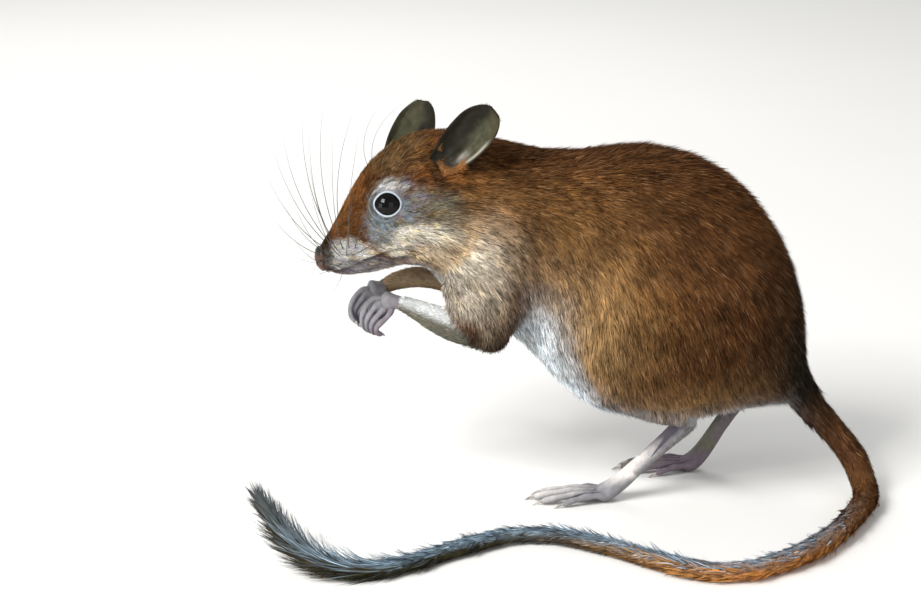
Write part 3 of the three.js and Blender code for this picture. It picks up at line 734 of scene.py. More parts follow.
LIMBS = {
    "forearm_left": Limb((6.5, -15.4, 45.6), (-14.6, -8.8, 50.8), 1.7, Fur.WHITE, Fur.PEWTER),
    "forearm_right": Limb((4.0, 13.6, 49.0), (-19.0, 5.2, 51.2), 1.7, Fur.SAND, Fur.HAZEL),
    "hand_left": Limb((-15.0, -8.6, 50.9), (-21.0, -6.0, 42.0), 0.6, Fur.ASH, Fur.LILAC),
    "hand_right": Limb((-19.4, 5.0, 51.0), (-25.0, -1.5, 42.6), 0.6, Fur.ASH, Fur.LILAC),
    "shank_left": Limb((34.0, -16.0, 32.5), (56.0, -11.2, 22.0), 2.4, Fur.PEARL, Fur.ASH),
    "shank_right": Limb((41.0, 16.0, 32.5), (74.0, 11.2, 26.0), 2.4, Fur.PEWTER, Fur.LILAC),
    "hock_left": Limb((58.4, -11.2, 22.7), (42.0, -11.2, 7.0), 1.1, Fur.PEARL, Fur.ASH),
    "hock_right": Limb((76.0, 11.2, 27.2), (64.0, 11.2, 8.0), 1.1, Fur.PEWTER, Fur.LILAC),
    "foot_left": Limb((41.0, -11.2, 6.0), (19.0, -11.2, 1.0), 0.8, Fur.PEARL, Fur.ASH),
    "foot_right": Limb((62.5, 11.2, 6.0), (42.0, 11.2, 1.0), 0.8, Fur.PEWTER, Fur.LILAC),
}
TRUNK_PARTS = ("head", "neck", "torso", "upper_arm_left", "upper_arm_right", "thigh_left", "thigh_right")
FLESH = (*TRUNK_PARTS, *LIMBS)
TAIL_PARTS = tuple(f"tail_{number}" for number in range(1, 8))


@dataclass
class CoatPlan:
    """What the coat is like at each vertex of the skin."""

    part: Array
    straight: Array
    lie: Array
    length: Array
    colour: Array
    share: Array


class Planner:
    """Works out which part of the body each place belongs to, and how its coat lies there."""

    # How far painted shade darkens the mouth's line and the body's creases
    lip_shade: float = 0.88
    crease_shade: float = 0.55

    def __init__(self) -> None:
        """Gathers the faces of the flesh, with the part that each belongs to."""
        self.parts = [*FLESH, *TAIL_PARTS]
        points, faces, owner = [], [], []
        for number, name in enumerate(self.parts):
            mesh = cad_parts[name].data
            corners = read_triangles(mesh)
            faces.append(corners + sum(len(p) for p in points))
            points.append(read_points(mesh))
            owner.append(np.full(len(corners), number))
        self.owner = np.concatenate(owner)
        self.tree = BVHTree.FromPolygons(np.vstack(points).tolist(), np.vstack(faces).tolist())

    def numbers(self, *starts: str) -> list[int]:
        """The numbers of the parts whose names start in one of some ways."""
        return [number for number, name in enumerate(self.parts) if name.startswith(starts)]

    def belongs(self, points: Array) -> Array:
        """The number of the part nearest to each place in metres."""
        found = [self.tree.find_nearest(place)[2] for place in points.tolist()]
        return self.owner[np.array(found)]

    def plan(self, points: Array, edges: Array) -> CoatPlan:
        """The coat over a skin.

        Args:
            points: the skin's vertices in metres.
            edges: its edges.

        Returns:
            The plan, one row for each vertex.
        """
        part = self.belongs(points)
        places = millimetres(points)
        straight, angle = TURN.undo(places)
        lie, length = self.comb(straight)
        lie = TURN.direction(lie, angle)
        colour = marked(straight, np.array(self.parts)[part])
        ragged = 0.3 * wobble(places, 1.6, 9)
        share = np.zeros(len(points))
        for name, limb in LIMBS.items():
            here = part == self.parts.index(name)
            way = unit(np.subtract(limb.end, limb.start))
            lie[here] = way
            length[here] = limb.length
            middle = np.array(limb.start) + way * ((places[here] - limb.start) @ way)[:, None]
            # Painted shade: the underside takes the darker under colour, blending into the top's colour.
            height = (places[here] - middle)[:, 2] / 2.0 + ragged[here] * 0.3
            top = smoothstep(height, -0.55, 0.75)[:, None]
            colour[here] = limb.colour.light * top + limb.under.light * (1.0 - top)
        tail = part >= self.parts.index(TAIL_PARTS[0])
        share[tail] = TAIL.nearest(places[tail])
        _, ahead, _ = TAIL.place(share[tail])
        lie[tail] = ahead
        length[tail] = TAIL_HAIR
        colour[tail] = tail_colour(places[tail], share[tail], ragged[tail])
        # Painted shade: the mouth's line is painted near-black and the creases darker, with shorter hair.
        lips = MOUTH.band(straight)
        creased = np.max([crease.band(straight) for crease in CREASES], axis=0)
        colour *= (1.0 - self.crease_shade * creased)[:, None]
        colour *= 1.0 - self.lip_shade * lips[:, None]
        colour += Fur.BLACKISH.light * self.lip_shade * lips[:, None]
        length *= (1.0 - 0.55 * lips) * (1.0 - 0.35 * creased)
        # Painted shade: the skin in the hollow before each ear is painted near-black, with short hair.
        for ear in EARS.values():
            within = ear.covers(places)
            length *= 1.0 - 0.8 * within
            colour = colour * (1.0 - within[:, None]) + Fur.BLACKISH.light * within[:, None]
        lie = unit(relax(lie, edges, 0.6, 14))
        length = relax(length, edges, 0.6, 6)
        colour = relax(colour, edges, 0.5, 2)
        return CoatPlan(part, straight, lie, length, colour, share)

    def comb(self, straight: Array) -> tuple[Array, Array]:
        """The lie and the length of the trunk's coat, from the combs nearest to each place."""
        total = np.zeros(len(straight))
        lie = np.zeros((len(straight), 3))
        length = np.zeros(len(straight))
        for comb in COMBS:
            for side in {LEFT, RIGHT} if comb.at[1] else {LEFT}:
                flip = np.array([1.0, -side, 1.0])
                away = np.sum((straight - flip * comb.at) ** 2, axis=1)
                weight = (away + 5.0) ** -2.5
                lie += weight[:, None] * unit(flip * comb.lie)
                length += weight * comb.length
                total += weight
        return unit(lie), length / total


TAIL_BROWNS = (
    (0.0, Fur.UMBER, 1.0),
    (0.08, Fur.RUSSET, 1.1),
    (0.16, Fur.RUST, 0.65),
    (0.24, Fur.AMBER, 0.7),
    (0.33, Fur.AMBER, 1.1),
    (0.42, Fur.AMBER, 1.35),
    (0.52, Fur.TAWNY, 1.0),
    (0.62, Fur.HAZEL, 0.8),
    (0.74, Fur.OLIVE, 0.9),
    (1.0, Fur.OLIVE, 0.8),
)


def tail_colour(places: Array, share: Array, ragged: Array) -> Array:
    """The tail's colour: brown above and outside, blue-grey within its bends, dark at the brush.

    Args:
        places: rows of millimetres.
        share: how far along the tail each one is.
        ragged: noise for the edges between colours.

    Returns:
        Rows of linear colour.
    """
    middle, ahead, radius = TAIL.place(share)
    over, aside = TAIL.across(ahead)
    out = (places - middle) / radius[:, None]
    inner = np.sum(out * over, axis=1) * 0.75 - np.sum(out * aside, axis=1) * 0.66
    wide = 0.35 * smoothstep(share, 0.55, 0.7)
    pale = smoothstep(inner + ragged + wide, -0.2, 0.4) * smoothstep(share, 0.2, 0.3)
    brown = follow(np.array([[at, *fur.light * light, 0.0] for at, fur, light in TAIL_BROWNS]), 60)
    warm = np.stack([np.interp(share, brown[:, 0], column) for column in brown[:, 1:4].T], axis=1)
    colour = warm * (1.0 - pale[:, None]) + Fur.SKY.light * pale[:, None]
    brush = smoothstep(share, 0.84, 0.95)[:, None]
    return colour * (1.0 - brush) + (Fur.OLIVE.light * 0.5 + Fur.SKY.light * 0.18 * pale[:, None]) * brush


# Finishes


@dataclass(frozen=True)
class Finish:
    """A finish with its roughness and gloss, and one way of mixing its pattern."""

    name: str
    roughness: float = 0.6
    specular: float = 0.4

    def start(self) -> tuple[bpy.types.Material, bpy.types.NodeTree, bpy.types.Node]:
        """A new material with its node tree and main shader."""
        material = bpy.data.materials.new(self.name)
        material.use_nodes = True
        tree = material.node_tree
        shader = tree.nodes["Principled BSDF"]
        shader.inputs["Roughness"].default_value = self.roughness
        shader.inputs["Specular IOR Level"].default_value = self.specular
        return material, tree, shader

    def noise(self, tree: bpy.types.NodeTree, scale: float, detail: float = 3.0) -> bpy.types.Node:
        """A noise pattern on the piece's own coordinates."""
        place = tree.nodes.new("ShaderNodeTexCoord")
        pattern = tree.nodes.new("ShaderNodeTexNoise")
        pattern.inputs["Scale"].default_value = scale
        pattern.inputs["Detail"].default_value = detail
        tree.links.new(place.outputs["Object"], pattern.inputs["Vector"])
        return pattern

    def blend(
        self, tree: bpy.types.NodeTree, factor: bpy.types.NodeSocket, ramp: list[tuple[float, Array]]
    ) -> bpy.types.NodeSocket:
        """A colour that follows a factor from one stop to the next."""
        node = tree.nodes.new("ShaderNodeValToRGB")
        stops = node.color_ramp.elements
        while len(stops) < len(ramp):
            stops.new(0.5)
        for stop, (at, colour) in zip(stops, ramp):
            stop.position = at
            stop.color = (*colour, 1.0)
        tree.links.new(factor, node.inputs["Fac"])
        return node.outputs["Color"]

    def bump(
        self, tree: bpy.types.NodeTree, shader: bpy.types.Node, height: bpy.types.NodeSocket,
        strength: float, distance: float,
    ) -> None:
        """Adds a bump of some height to a shader."""
        node = tree.nodes.new("ShaderNodeBump")
        node.inputs["Strength"].default_value = strength
        node.inputs["Distance"].default_value = distance * MM
        tree.links.new(height, node.inputs["Height"])
        tree.links.new(node.outputs["Normal"], shader.inputs["Normal"])


@dataclass(frozen=True)
class PaintedFinish(Finish):
    """Skin or coat, in the colours stored in its mesh, with a fine mottle."""

    mottle: float = 0.25
    grain: float = 900.0
    relief: float = 0.0

    def build(self) -> bpy.types.Material:
        """Makes the material."""
        material, tree, shader = self.start()
        colour = tree.nodes.new("ShaderNodeVertexColor")
        colour.layer_name = "coat"
        pattern = self.noise(tree, self.grain)
        low, high = 1.0 - self.mottle, 1.0 + self.mottle
        shade = self.blend(tree, pattern.outputs["Fac"], [(0.3, np.full(3, low)), (0.7, np.full(3, high))])
        mixed = tree.nodes.new("ShaderNodeMix")
        mixed.data_type = "RGBA"
        mixed.blend_type = "MULTIPLY"
        mixed.inputs["Factor"].default_value = 1.0
        tree.links.new(colour.outputs["Color"], mixed.inputs["A"])
        tree.links.new(shade, mixed.inputs["B"])
        tree.links.new(mixed.outputs["Result"], shader.inputs["Base Color"])
        if self.relief:
            self.bump(tree, shader, pattern.outputs["Fac"], 0.6, self.relief)
        return material


@dataclass(frozen=True)
class MottledFinish(Finish):
    """One material all over, whose noise runs between a dark and a pale colour."""

    dark: tuple[int, int, int] = (0, 0, 0)
    pale: tuple[int, int, int] = (255, 255, 255)
    grain: float = 500.0
    low: float = 0.3
    high: float = 0.7
    relief: float = 0.0

    def build(self) -> bpy.types.Material:
        """Makes the material."""
        material, tree, shader = self.start()
        pattern = self.noise(tree, self.grain)
        ramp = [(self.low, linear(self.dark)), (self.high, linear(self.pale))]
        tree.links.new(self.blend(tree, pattern.outputs["Fac"], ramp), shader.inputs["Base Color"])
        if self.relief:
            self.bump(tree, shader, pattern.outputs["Fac"], 0.3, self.relief)
        return material


def dress(item: bpy.types.Object, finish: Finish) -> None:
    """Gives a piece smooth shading and its finish, whose material is made once, on the one body."""
    shade_smooth(item)
    item.data.materials.clear()
    item.data.materials.append(bpy.data.materials.get(finish.name) or finish.build())
    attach(item, "root")


SKIN_FINISH = PaintedFinish("skin", roughness=0.75, specular=0.15, mottle=0.18, grain=700.0, relief=0.08)
COAT_FINISH = PaintedFinish("coat", roughness=0.8, specular=0.05, mottle=0.22, grain=420.0)
EAR_FINISH = PaintedFinish("ear", roughness=0.7, specular=0.12, mottle=0.3, grain=520.0, relief=0.12)
NOSE_FINISH = PaintedFinish("nose", roughness=0.42, specular=0.25, mottle=0.3, grain=2600.0, relief=0.16)
LID_FINISH = PaintedFinish("lid", roughness=0.5, specular=0.3, mottle=0.12, grain=1500.0, relief=0.05)
EYE_FINISH = MottledFinish(
    "eyeball", roughness=0.03, specular=0.2, dark=(4, 4, 4), pale=(12, 9, 7), grain=260.0, low=0.35,
)
CLAW_FINISH = MottledFinish(
    "claw", roughness=0.35, dark=(104, 96, 90), pale=(190, 184, 176), relief=0.05,
)
WHISKER_FINISH = MottledFinish(
    "whisker", roughness=0.4, dark=(44, 38, 32), pale=(96, 86, 74), grain=120.0, low=0.35,
)
FLOOR_FINISH = MottledFinish(
    "floor", roughness=0.8, dark=(238, 236, 231), pale=(243, 241, 237), grain=3.0,
)


# Hands and feet


# A digit's half-width from the palm to its tip, swollen at each knuckle
DIGIT_PROFILE = np.array([0.92, 1.1, 0.88, 1.04, 0.84, 0.98, 0.74])
# A claw's stations: how far along it, how much of its drop, and its half-width
CLAW_PROFILE = (
    (-0.5, -0.12, 0.44),
    (0.1, -0.1, 0.44),
    (0.45, 0.08, 0.32),
    (0.8, 0.5, 0.16),
    (1.0, 1.0, 0.04),
)


@dataclass
class Digits:
    """The fingers or toes of one paw, with the middle lines and tips that its claws and furrows need."""

    claw_length: float
    claw_drop: float
    tips: list[tuple[Array, Array, float]] = field(default_factory=list)
    lines: list[Array] = field(default_factory=list)

    def add(self, form: Form, route: list[Array], radius: float) -> None:
        """Adds one digit with its knuckles.

        Args:
            form: the paw that it belongs to.
            route: places along its middle, from the palm to the tip.
            radius: its mean half-width.
        """
        line = follow(np.array(route), len(DIGIT_PROFILE))
        half = (radius * DIGIT_PROFILE)[:, None]
        form.tube(np.hstack([line, half, half]), np.array([0.1, 1.0, 0.1]), 14, 44, (0.0, radius * 0.9))
        self.tips.append((line[-1], unit(line[-1] - line[-2]), radius))
        self.lines.append(follow(np.array(route), 40))

    def furrows(self, places: Array) -> Array:
        """How far, from 0 to 1, each place lies in the furrow between two digits."""
        gaps = np.stack([np.linalg.norm(places[:, None] - line, axis=2) for line in self.lines], axis=1)
        near = np.sort(gaps.min(axis=2), axis=1)
        along = gaps.min(axis=1).argmin(axis=1) / gaps.shape[2]
        within = (1.0 - smoothstep(near[:, 0], 1.3, 2.2)) * smoothstep(along, 0.12, 0.3)
        return within * (1.0 - smoothstep(near[:, 1] - near[:, 0], 0.15, 0.75))

    def claws(self, name: str) -> bpy.types.Object:
        """Makes the claws of this paw as one piece: curved, tapered and pointed."""
        form = Form()
        for tip, ahead, radius in self.tips:
            stations = []
            for along, drop, half in CLAW_PROFILE:
                at = tip + ahead * along * self.claw_length - UP * drop * self.claw_drop
                at[2] = max(at[2], half * radius + 0.1)
                stations.append([*at, half * radius * 0.8, half * radius])
            form.tube(np.array(stations), np.array([0.1, 1.0, 0.1]), 8, 14, (0.3, 0.0))
        claws = form.build(name)
        dress(claws, CLAW_FINISH)
        log.info("%s", name)
        return claws


@dataclass(frozen=True)
class Hand:
    """A small hand with four fingers curled down side by side."""

    wrist: Point
    back: Point
    knuckles: tuple[Point, Point]
    bends: tuple[Point, Point]
    tips: tuple[Point, Point]
    finger: float = 0.84

    def shape(self, form: Form) -> Digits:
        """Adds the palm and the fingers to a form."""
        wrist, back = np.array(self.wrist), np.array(self.back)
        ahead = unit(back - wrist)
        palm = [
            [*(wrist - ahead * 4.0), 1.0, 1.1],
            [*(wrist - ahead * 1.0), 1.35, 1.5],
            [*(wrist + (back - wrist) * 0.5), 2.0, 1.75],
            [*back, 2.6, 1.9],
            [*(back + (back - wrist) * 0.6), 2.3, 1.5],
        ]
        form.tube(np.array(palm), np.array([0.72, 0.0, -0.69]), 20, 30, (1.0, 1.6))
        inside = np.mean(self.bends + self.tips, axis=0) * 0.5 + back * 0.5
        pad = [
            [*(back - UP), 1.8, 1.6],
            [*(inside + [-0.4, 0.9, 0.5]), 2.3, 1.6],
            [*(inside + [0.2, 0.7, -2.0]), 1.5, 1.1],
        ]
        form.tube(np.array(pad), np.array([0.72, 0.0, -0.69]), 16, 20, (1.0, 1.0))
        digits = Digits(claw_length=1.2, claw_drop=0.4)
        for k in np.linspace(0.0, 1.0, 4):
            knuckle, bend, tip = (
                np.array(pair[0]) * (1.0 - k) + np.array(pair[1]) * k
                for pair in (self.knuckles, self.bends, self.tips)
            )
            start = back * 0.85 + knuckle * 0.15
            dip = bend * 0.4 + tip * 0.6 + (bend - knuckle) * 0.16
            digits.add(form, [start, knuckle, bend, dip, tip], self.finger * (1.0 - 0.2 * abs(k - 0.5)))
        return digits


@dataclass(frozen=True)
class Toe:
    """One toe, by how far aside it starts and ends, its reach and its size."""

    start: float
    end: float
    reach: float
    size: float


TOES = (
    Toe(-2.4, -5.4, 10.6, 0.82),
    Toe(-1.5, -3.5, 17.8, 1.0),
    Toe(0.0, 0.2, 19.4, 1.08),
    Toe(1.5, 3.8, 17.6, 1.0),
    Toe(2.3, 5.9, 12.4, 0.86),
)


@dataclass(frozen=True)
class Foot:
    """A long hind foot on its ball, with the heel raised."""

    side: int
    ball: float
    rise: float
    aside: float = 11.2
    metatarsus: float = 29.0
    toe: float = 0.98

    def place(self, share: float, off: float = 0.0) -> Array:
        """A place on the raised part: 0 at the ball and 1 at the heel, off towards the front."""
        run, climb = math.cos(self.rise), math.sin(self.rise)
        reach = self.metatarsus * share
        x = self.ball + run * reach - climb * off
        return np.array([x, self.aside * self.side, 2.6 + climb * reach + run * off])

    def shape(self, form: Form) -> Digits:
        """Adds the foot and its toes to a form."""
        y = self.aside * self.side
        sole = [
            [*self.place(1.0), 1.9, 2.0],
            [*self.place(0.9, 0.4), 2.4, 3.0],
            [*self.place(0.72), 2.15, 2.4],
            [*self.place(0.4), 2.1, 2.0],
            [*self.place(0.12), 2.7, 2.2],
            [self.ball - 1.2, y, 2.35, 3.5, 2.25],
            [self.ball - 4.4, y, 1.8, 3.2, 1.7],
        ]
        form.tube(np.array(sole), np.array([0.0, 1.0, 0.0]), 24, 70, (1.6, 2.2))
        digits = Digits(claw_length=2.2, claw_drop=0.6)
        for toe in TOES:
            start = np.array([self.ball, (self.aside + toe.start) * self.side, 1.9])
            end = np.array([self.ball - toe.reach, (self.aside + toe.end) * self.side, 0.9])
            arch = start * 0.55 + end * 0.45 + UP * 0.9
            knuckle = start * 0.25 + end * 0.75 + UP * 0.55
            digits.add(form, [start, arch, knuckle, end], self.toe * toe.size)
        return digits


HANDS = {
    "left": Hand(
        wrist=(-15.0, -8.6, 50.9), back=(-18.0, -7.9, 51.0),
        knuckles=((-21.8, -7.2, 51.4), (-17.2, -9.0, 48.4)),
        bends=((-24.4, -7.3, 46.9), (-20.6, -9.0, 44.7)),
        tips=((-22.4, -5.0, 42.2), (-19.4, -6.2, 41.9)),
    ),
    "right": Hand(
        wrist=(-19.4, 5.0, 51.0), back=(-21.8, 3.8, 50.6),
        knuckles=((-25.1, 2.5, 50.7), (-22.0, 1.9, 47.4)),
        bends=((-27.5, 0.9, 47.1), (-24.8, 0.5, 44.2)),
        tips=((-26.1, -1.7, 43.7), (-23.2, -1.3, 41.9)),
    ),
}
FEET = {
    "left": Foot(LEFT, 37.6, math.radians(44.0)),
    "right": Foot(RIGHT, 60.6, math.radians(58.0)),
}


# The skin


@dataclass(frozen=True)
class Groove:
    """A narrow groove along a line, on both sides of the straight animal."""

    line: Array
    width: float
    depth: float

    def band(self, straight: Array) -> Array:
        """1 in the groove and less beside it."""
        return np.exp(-((self.away(straight) / self.width) ** 2))

    def away(self, straight: Array) -> Array:
        """The distance of each point from the line."""
        mirrored = left_half(straight)
        line = follow(self.line, 60)
        best = np.full(len(straight), 1e9)
        for place in line:
            best = np.minimum(best, np.sum((mirrored - place) ** 2, axis=1))
        return np.sqrt(best)

    def sink(self, straight: Array) -> Array:
        """How far the skin sinks at each point."""
        return self.depth * self.band(straight)


MOUTH = Groove(np.array([
    (-34.2, -0.6, 60.0),
    (-33.0, -3.0, 60.4),
    (-31.2, -4.9, 61.2),
    (-29.2, -6.0, 62.4),
    (-26.8, -7.1, 63.7),
    (-24.5, -8.0, 65.0),
    (-22.2, -8.9, 66.2),
    (-20.0, -9.9, 66.9),
    (-17.6, -10.8, 66.8),
    (-15.6, -11.4, 66.0),
]), 0.7, 1.2)
CREASES = (
    Groove(np.array([
        (17.0, -7.0, 85.3),
        (16.2, -12.2, 79.5),
        (15.4, -16.5, 72.6),
        (14.6, -18.4, 65.6),
        (14.0, -19.0, 58.3),
        (13.2, -19.0, 50.8),
    ]), 2.2, 2.2),
    Groove(np.array([
        (33.0, -18.4, 71.5),
        (27.6, -19.0, 66.5),
        (24.4, -19.3, 59.7),
        (23.6, -19.0, 53.3),
        (23.8, -17.6, 45.3),
        (26.0, -15.6, 37.8),
        (30.5, -14.0, 31.0),
    ]), 2.4, 1.8),
    Groove(np.array([(-5.4, -14.2, 61.0), (-5.6, -13.6, 57.0), (-5.6, -13.4, 53.0)]), 1.2, 0.8),
)


@dataclass
class Skin:
    """One skin over the whole body, a coat's depth inside the measured solids."""

    body_voxel: float = 0.34
    paw_voxel: float = 0.17
    overlap: float = 0.25
    triangles: int = 188_000
    depth: float = 0.15
    merge: float = 0.002
    softness: float = 0.7
    limb_softness: float = 0.25
    tail_softness: float = 0.08
    soft_rounds: int = 60
    elbow: Point = (4.8, -16.2, 40.1)
    sole: float = 0.1
    # The paws' crevices are painted dark as shade: how far to look, how deep a crevice counts as full and
    # how dark it is painted.
    crevice_rounds: int = 12
    crevice_depth: float = 0.14
    crevice_shade: float = 0.9
    # How much darker than its coat the skin beneath the coat is painted, as shade under the hair
    under_coat_shade: float = 0.6

    def build(self, planner: Planner) -> tuple[bpy.types.Object, CoatPlan]:
        """Makes the skin.

        Args:
            planner: knows which part is where and how its coat lies.

        Returns:
            The skin and the plan of the coat on it.
        """
        own = [name for name in FLESH if not name.startswith(("hand", "hock", "foot"))]
        body = self._cast([self.swollen(name) for name in own] + [self._tail()], self.body_voxel)
        paws = self._cast([self._paws()], self.paw_voxel)
        self._soften(body, planner)
        write_points(paws.data, relax(read_points(paws.data), read_edges(paws.data), 0.4, 6))
        skin = self._unite(body, paws)
        skin.name = skin.data.name = "skin"
        self._thin_out(skin)
        points, edges = read_points(skin.data), read_edges(skin.data)
        plan = planner.plan(points, edges)
        bare = np.isin(plan.part, planner.numbers("hand", "foot", "hock"))
        sunk = np.where(bare, 0.0, plan.length * self.depth + self.overlap) + MOUTH.sink(plan.straight)
        sunk += sum(crease.sink(plan.straight) for crease in CREASES)
        sunk = relax(sunk, edges, 0.5, 3)
        points = points - read_normals(skin.data) * (sunk * MM)[:, None]
        points = relax(points, edges, np.where(bare, 0.0, 0.25), 2)
        for ear in EARS.values():
            points = metres(ear.bare_hollow(millimetres(points)))
        points[:, 2] = np.maximum(points[:, 2], self.sole * MM)
        normals = read_normals(skin.data)
        # Painted shade: on the bare hands and feet the hollows and the furrows between the digits are
        # painted dark and keep almost no hair.
        hollow = crevices(points, normals, edges, self.crevice_rounds, self.crevice_depth)
        for paw in (*HANDS.values(), *FEET.values()):
            furrow = paw.shape(Form()).furrows(millimetres(points[bare]))
            hollow[bare] = np.maximum(hollow[bare], furrow)
        write_points(skin.data, points)
        unwrap(skin)
        dark = np.where(bare, self.crevice_shade * hollow, 0.0)
        plan.colour = plan.colour * (1.0 - dark[:, None]) + Fur.DUSK.light * dark[:, None]
        plan.length = plan.length * (1.0 - dark)
        # Under the coat the skin is painted darker, as shade beneath the hair; the bare paws keep their
        # colour.
        paint(skin, "coat", plan.colour * np.where(bare, 1.0, self.under_coat_shade)[:, None])
        dress(skin, SKIN_FINISH)
        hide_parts(*FLESH, *TAIL_PARTS)
        log.info("skin: %d faces", len(skin.data.polygons))
        return skin, plan

    def _cast(self, copies: list[bpy.types.Object], voxel: float) -> bpy.types.Object:
        """Joins some objects and casts them as one closed surface."""
        deselect()
        for copy in copies:
            copy.select_set(True)
        bpy.context.view_layer.objects.active = copies[0]
        if len(copies) > 1:
            bpy.ops.object.join()
        apply_modifier(copies[0], "REMESH", mode="VOXEL", voxel_size=voxel * MM)
        log.info("cast: %d vertices", len(copies[0].data.vertices))
        return copies[0]

    def swollen(self, name: str) -> bpy.types.Object:
        """A merged copy of one node, swollen so that it meets its neighbours."""
        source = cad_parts[name]
        copy = bpy.data.objects.new(f"{name}_copy", source.data.copy())
        bpy.context.scene.collection.objects.link(copy)
        with edit_mode(copy):
            bpy.ops.mesh.remove_doubles(threshold=self.merge * MM)
        grown = read_points(copy.data) + read_normals(copy.data) * self.overlap * MM
        write_points(copy.data, grown)
        return copy

    def _tail(self) -> bpy.types.Object:
        """The tail's core, without its bristles."""
        middle, _, radius = TAIL.place(np.linspace(0.0, 0.995, 80))
        half = (radius + self.overlap * 0.6)[:, None]
        form = Form()
        form.tube(np.hstack([middle, half, half]), UP, 16, 200, (0.0, 1.0))
        return form.build("tail_core")

    def _paws(self) -> bpy.types.Object:
        """Both hands and both feet."""
        form = Form()
        for paw in (*HANDS.values(), *FEET.values()):
            paw.shape(form)
        return form.build("paws")

    def _soften(self, body: bpy.types.Object, planner: Planner) -> None:
        """Smooths away the facets, but not the lids, nose and mouth, and less on thin limbs and tail."""
        points, edges = read_points(body.data), read_edges(body.data)
        part = planner.belongs(points)
        weight = np.full(len(points), self.softness)
        weight[np.isin(part, planner.numbers("forearm", "shank"))] = self.limb_softness
        weight[np.isin(part, planner.numbers("tail"))] = self.tail_softness
        straight, _ = TURN.undo(millimetres(points))
        eye = np.array(EYES.centre) + unit(np.array(EYES.look)) * 2.5
        mirrored = left_half(straight)
        near = 1.0 - smoothstep(np.linalg.norm(mirrored - eye, axis=1), 4.6, 7.0)
        near = np.maximum(near, 1.0 - smoothstep(MOUTH.away(straight), 1.0, 2.5))
        near = np.maximum(near, 1.0 - smoothstep(straight[:, 0], -35.5, -33.0))
        elbow = np.linalg.norm(mirrored - self.elbow, axis=1)
        near = np.maximum(near, 1.0 - smoothstep(elbow, 3.0, 7.0))
        weight = np.minimum(weight, self.softness - 0.62 * near)
        for crease in CREASES:
            weight *= 1.0 - 0.6 * crease.band(straight)
        weight = relax(weight, edges, 0.6, 6)
        soft = relax(points, edges, weight, self.soft_rounds)
        write_points(body.data, soft + relax(points - soft, edges, weight, self.soft_rounds))

    def _unite(self, body: bpy.types.Object, paws: bpy.types.Object) -> bpy.types.Object:
        """Unites the two closed surfaces into one."""
        apply_modifier(body, "BOOLEAN", operation="UNION", solver="MANIFOLD", object=paws)
        bpy.data.objects.remove(paws)
        log.info("united: %d vertices", len(body.data.vertices))
        return body

    def _thin_out(self, skin: bpy.types.Object) -> None:
        """Takes out triangles, mostly where the body is plain."""
        count = sum(len(face.vertices) - 2 for face in skin.data.polygons)
        places = millimetres(read_points(skin.data))
        straight, _ = TURN.undo(places)
        plain = 0.45 + 0.55 * smoothstep(straight[:, 0], -12.0, 0.0)
        plain = np.where((places[:, 2] < 12.0) & (np.abs(places[:, 1]) < 20.0), 0.5, plain)
        group = skin.vertex_groups.new(name="plain")
        for level in range(11):
            chosen = np.flatnonzero(np.round(plain * 10).astype(int) == level)
            if len(chosen):
                group.add(chosen.tolist(), level / 10, "REPLACE")
        ratio = self.triangles / count
        apply_modifier(skin, "DECIMATE", ratio=ratio, vertex_group="plain", vertex_group_factor=1.0)
        skin.vertex_groups.clear()
        log.info("thinned out: %d of %d triangles", len(skin.data.polygons), count)


# The coat


@dataclass
class Tufts:
    """Roots of tufts on the skin, with what each one is like."""

    root: Array
    normal: Array
    lie: Array
    length: Array
    width: Array
    colour: Array
    uv: Array

    def chosen(self, keep: Array) -> "Tufts":
        """The tufts that a mask or a list of numbers keeps."""
        return Tufts(*(getattr(self, name)[keep] for name in self.__dataclass_fields__))


# A blade's width at its root and at its bend, as shares of its tuft's width
BLADE_WIDTHS = (0.8, 1.0)


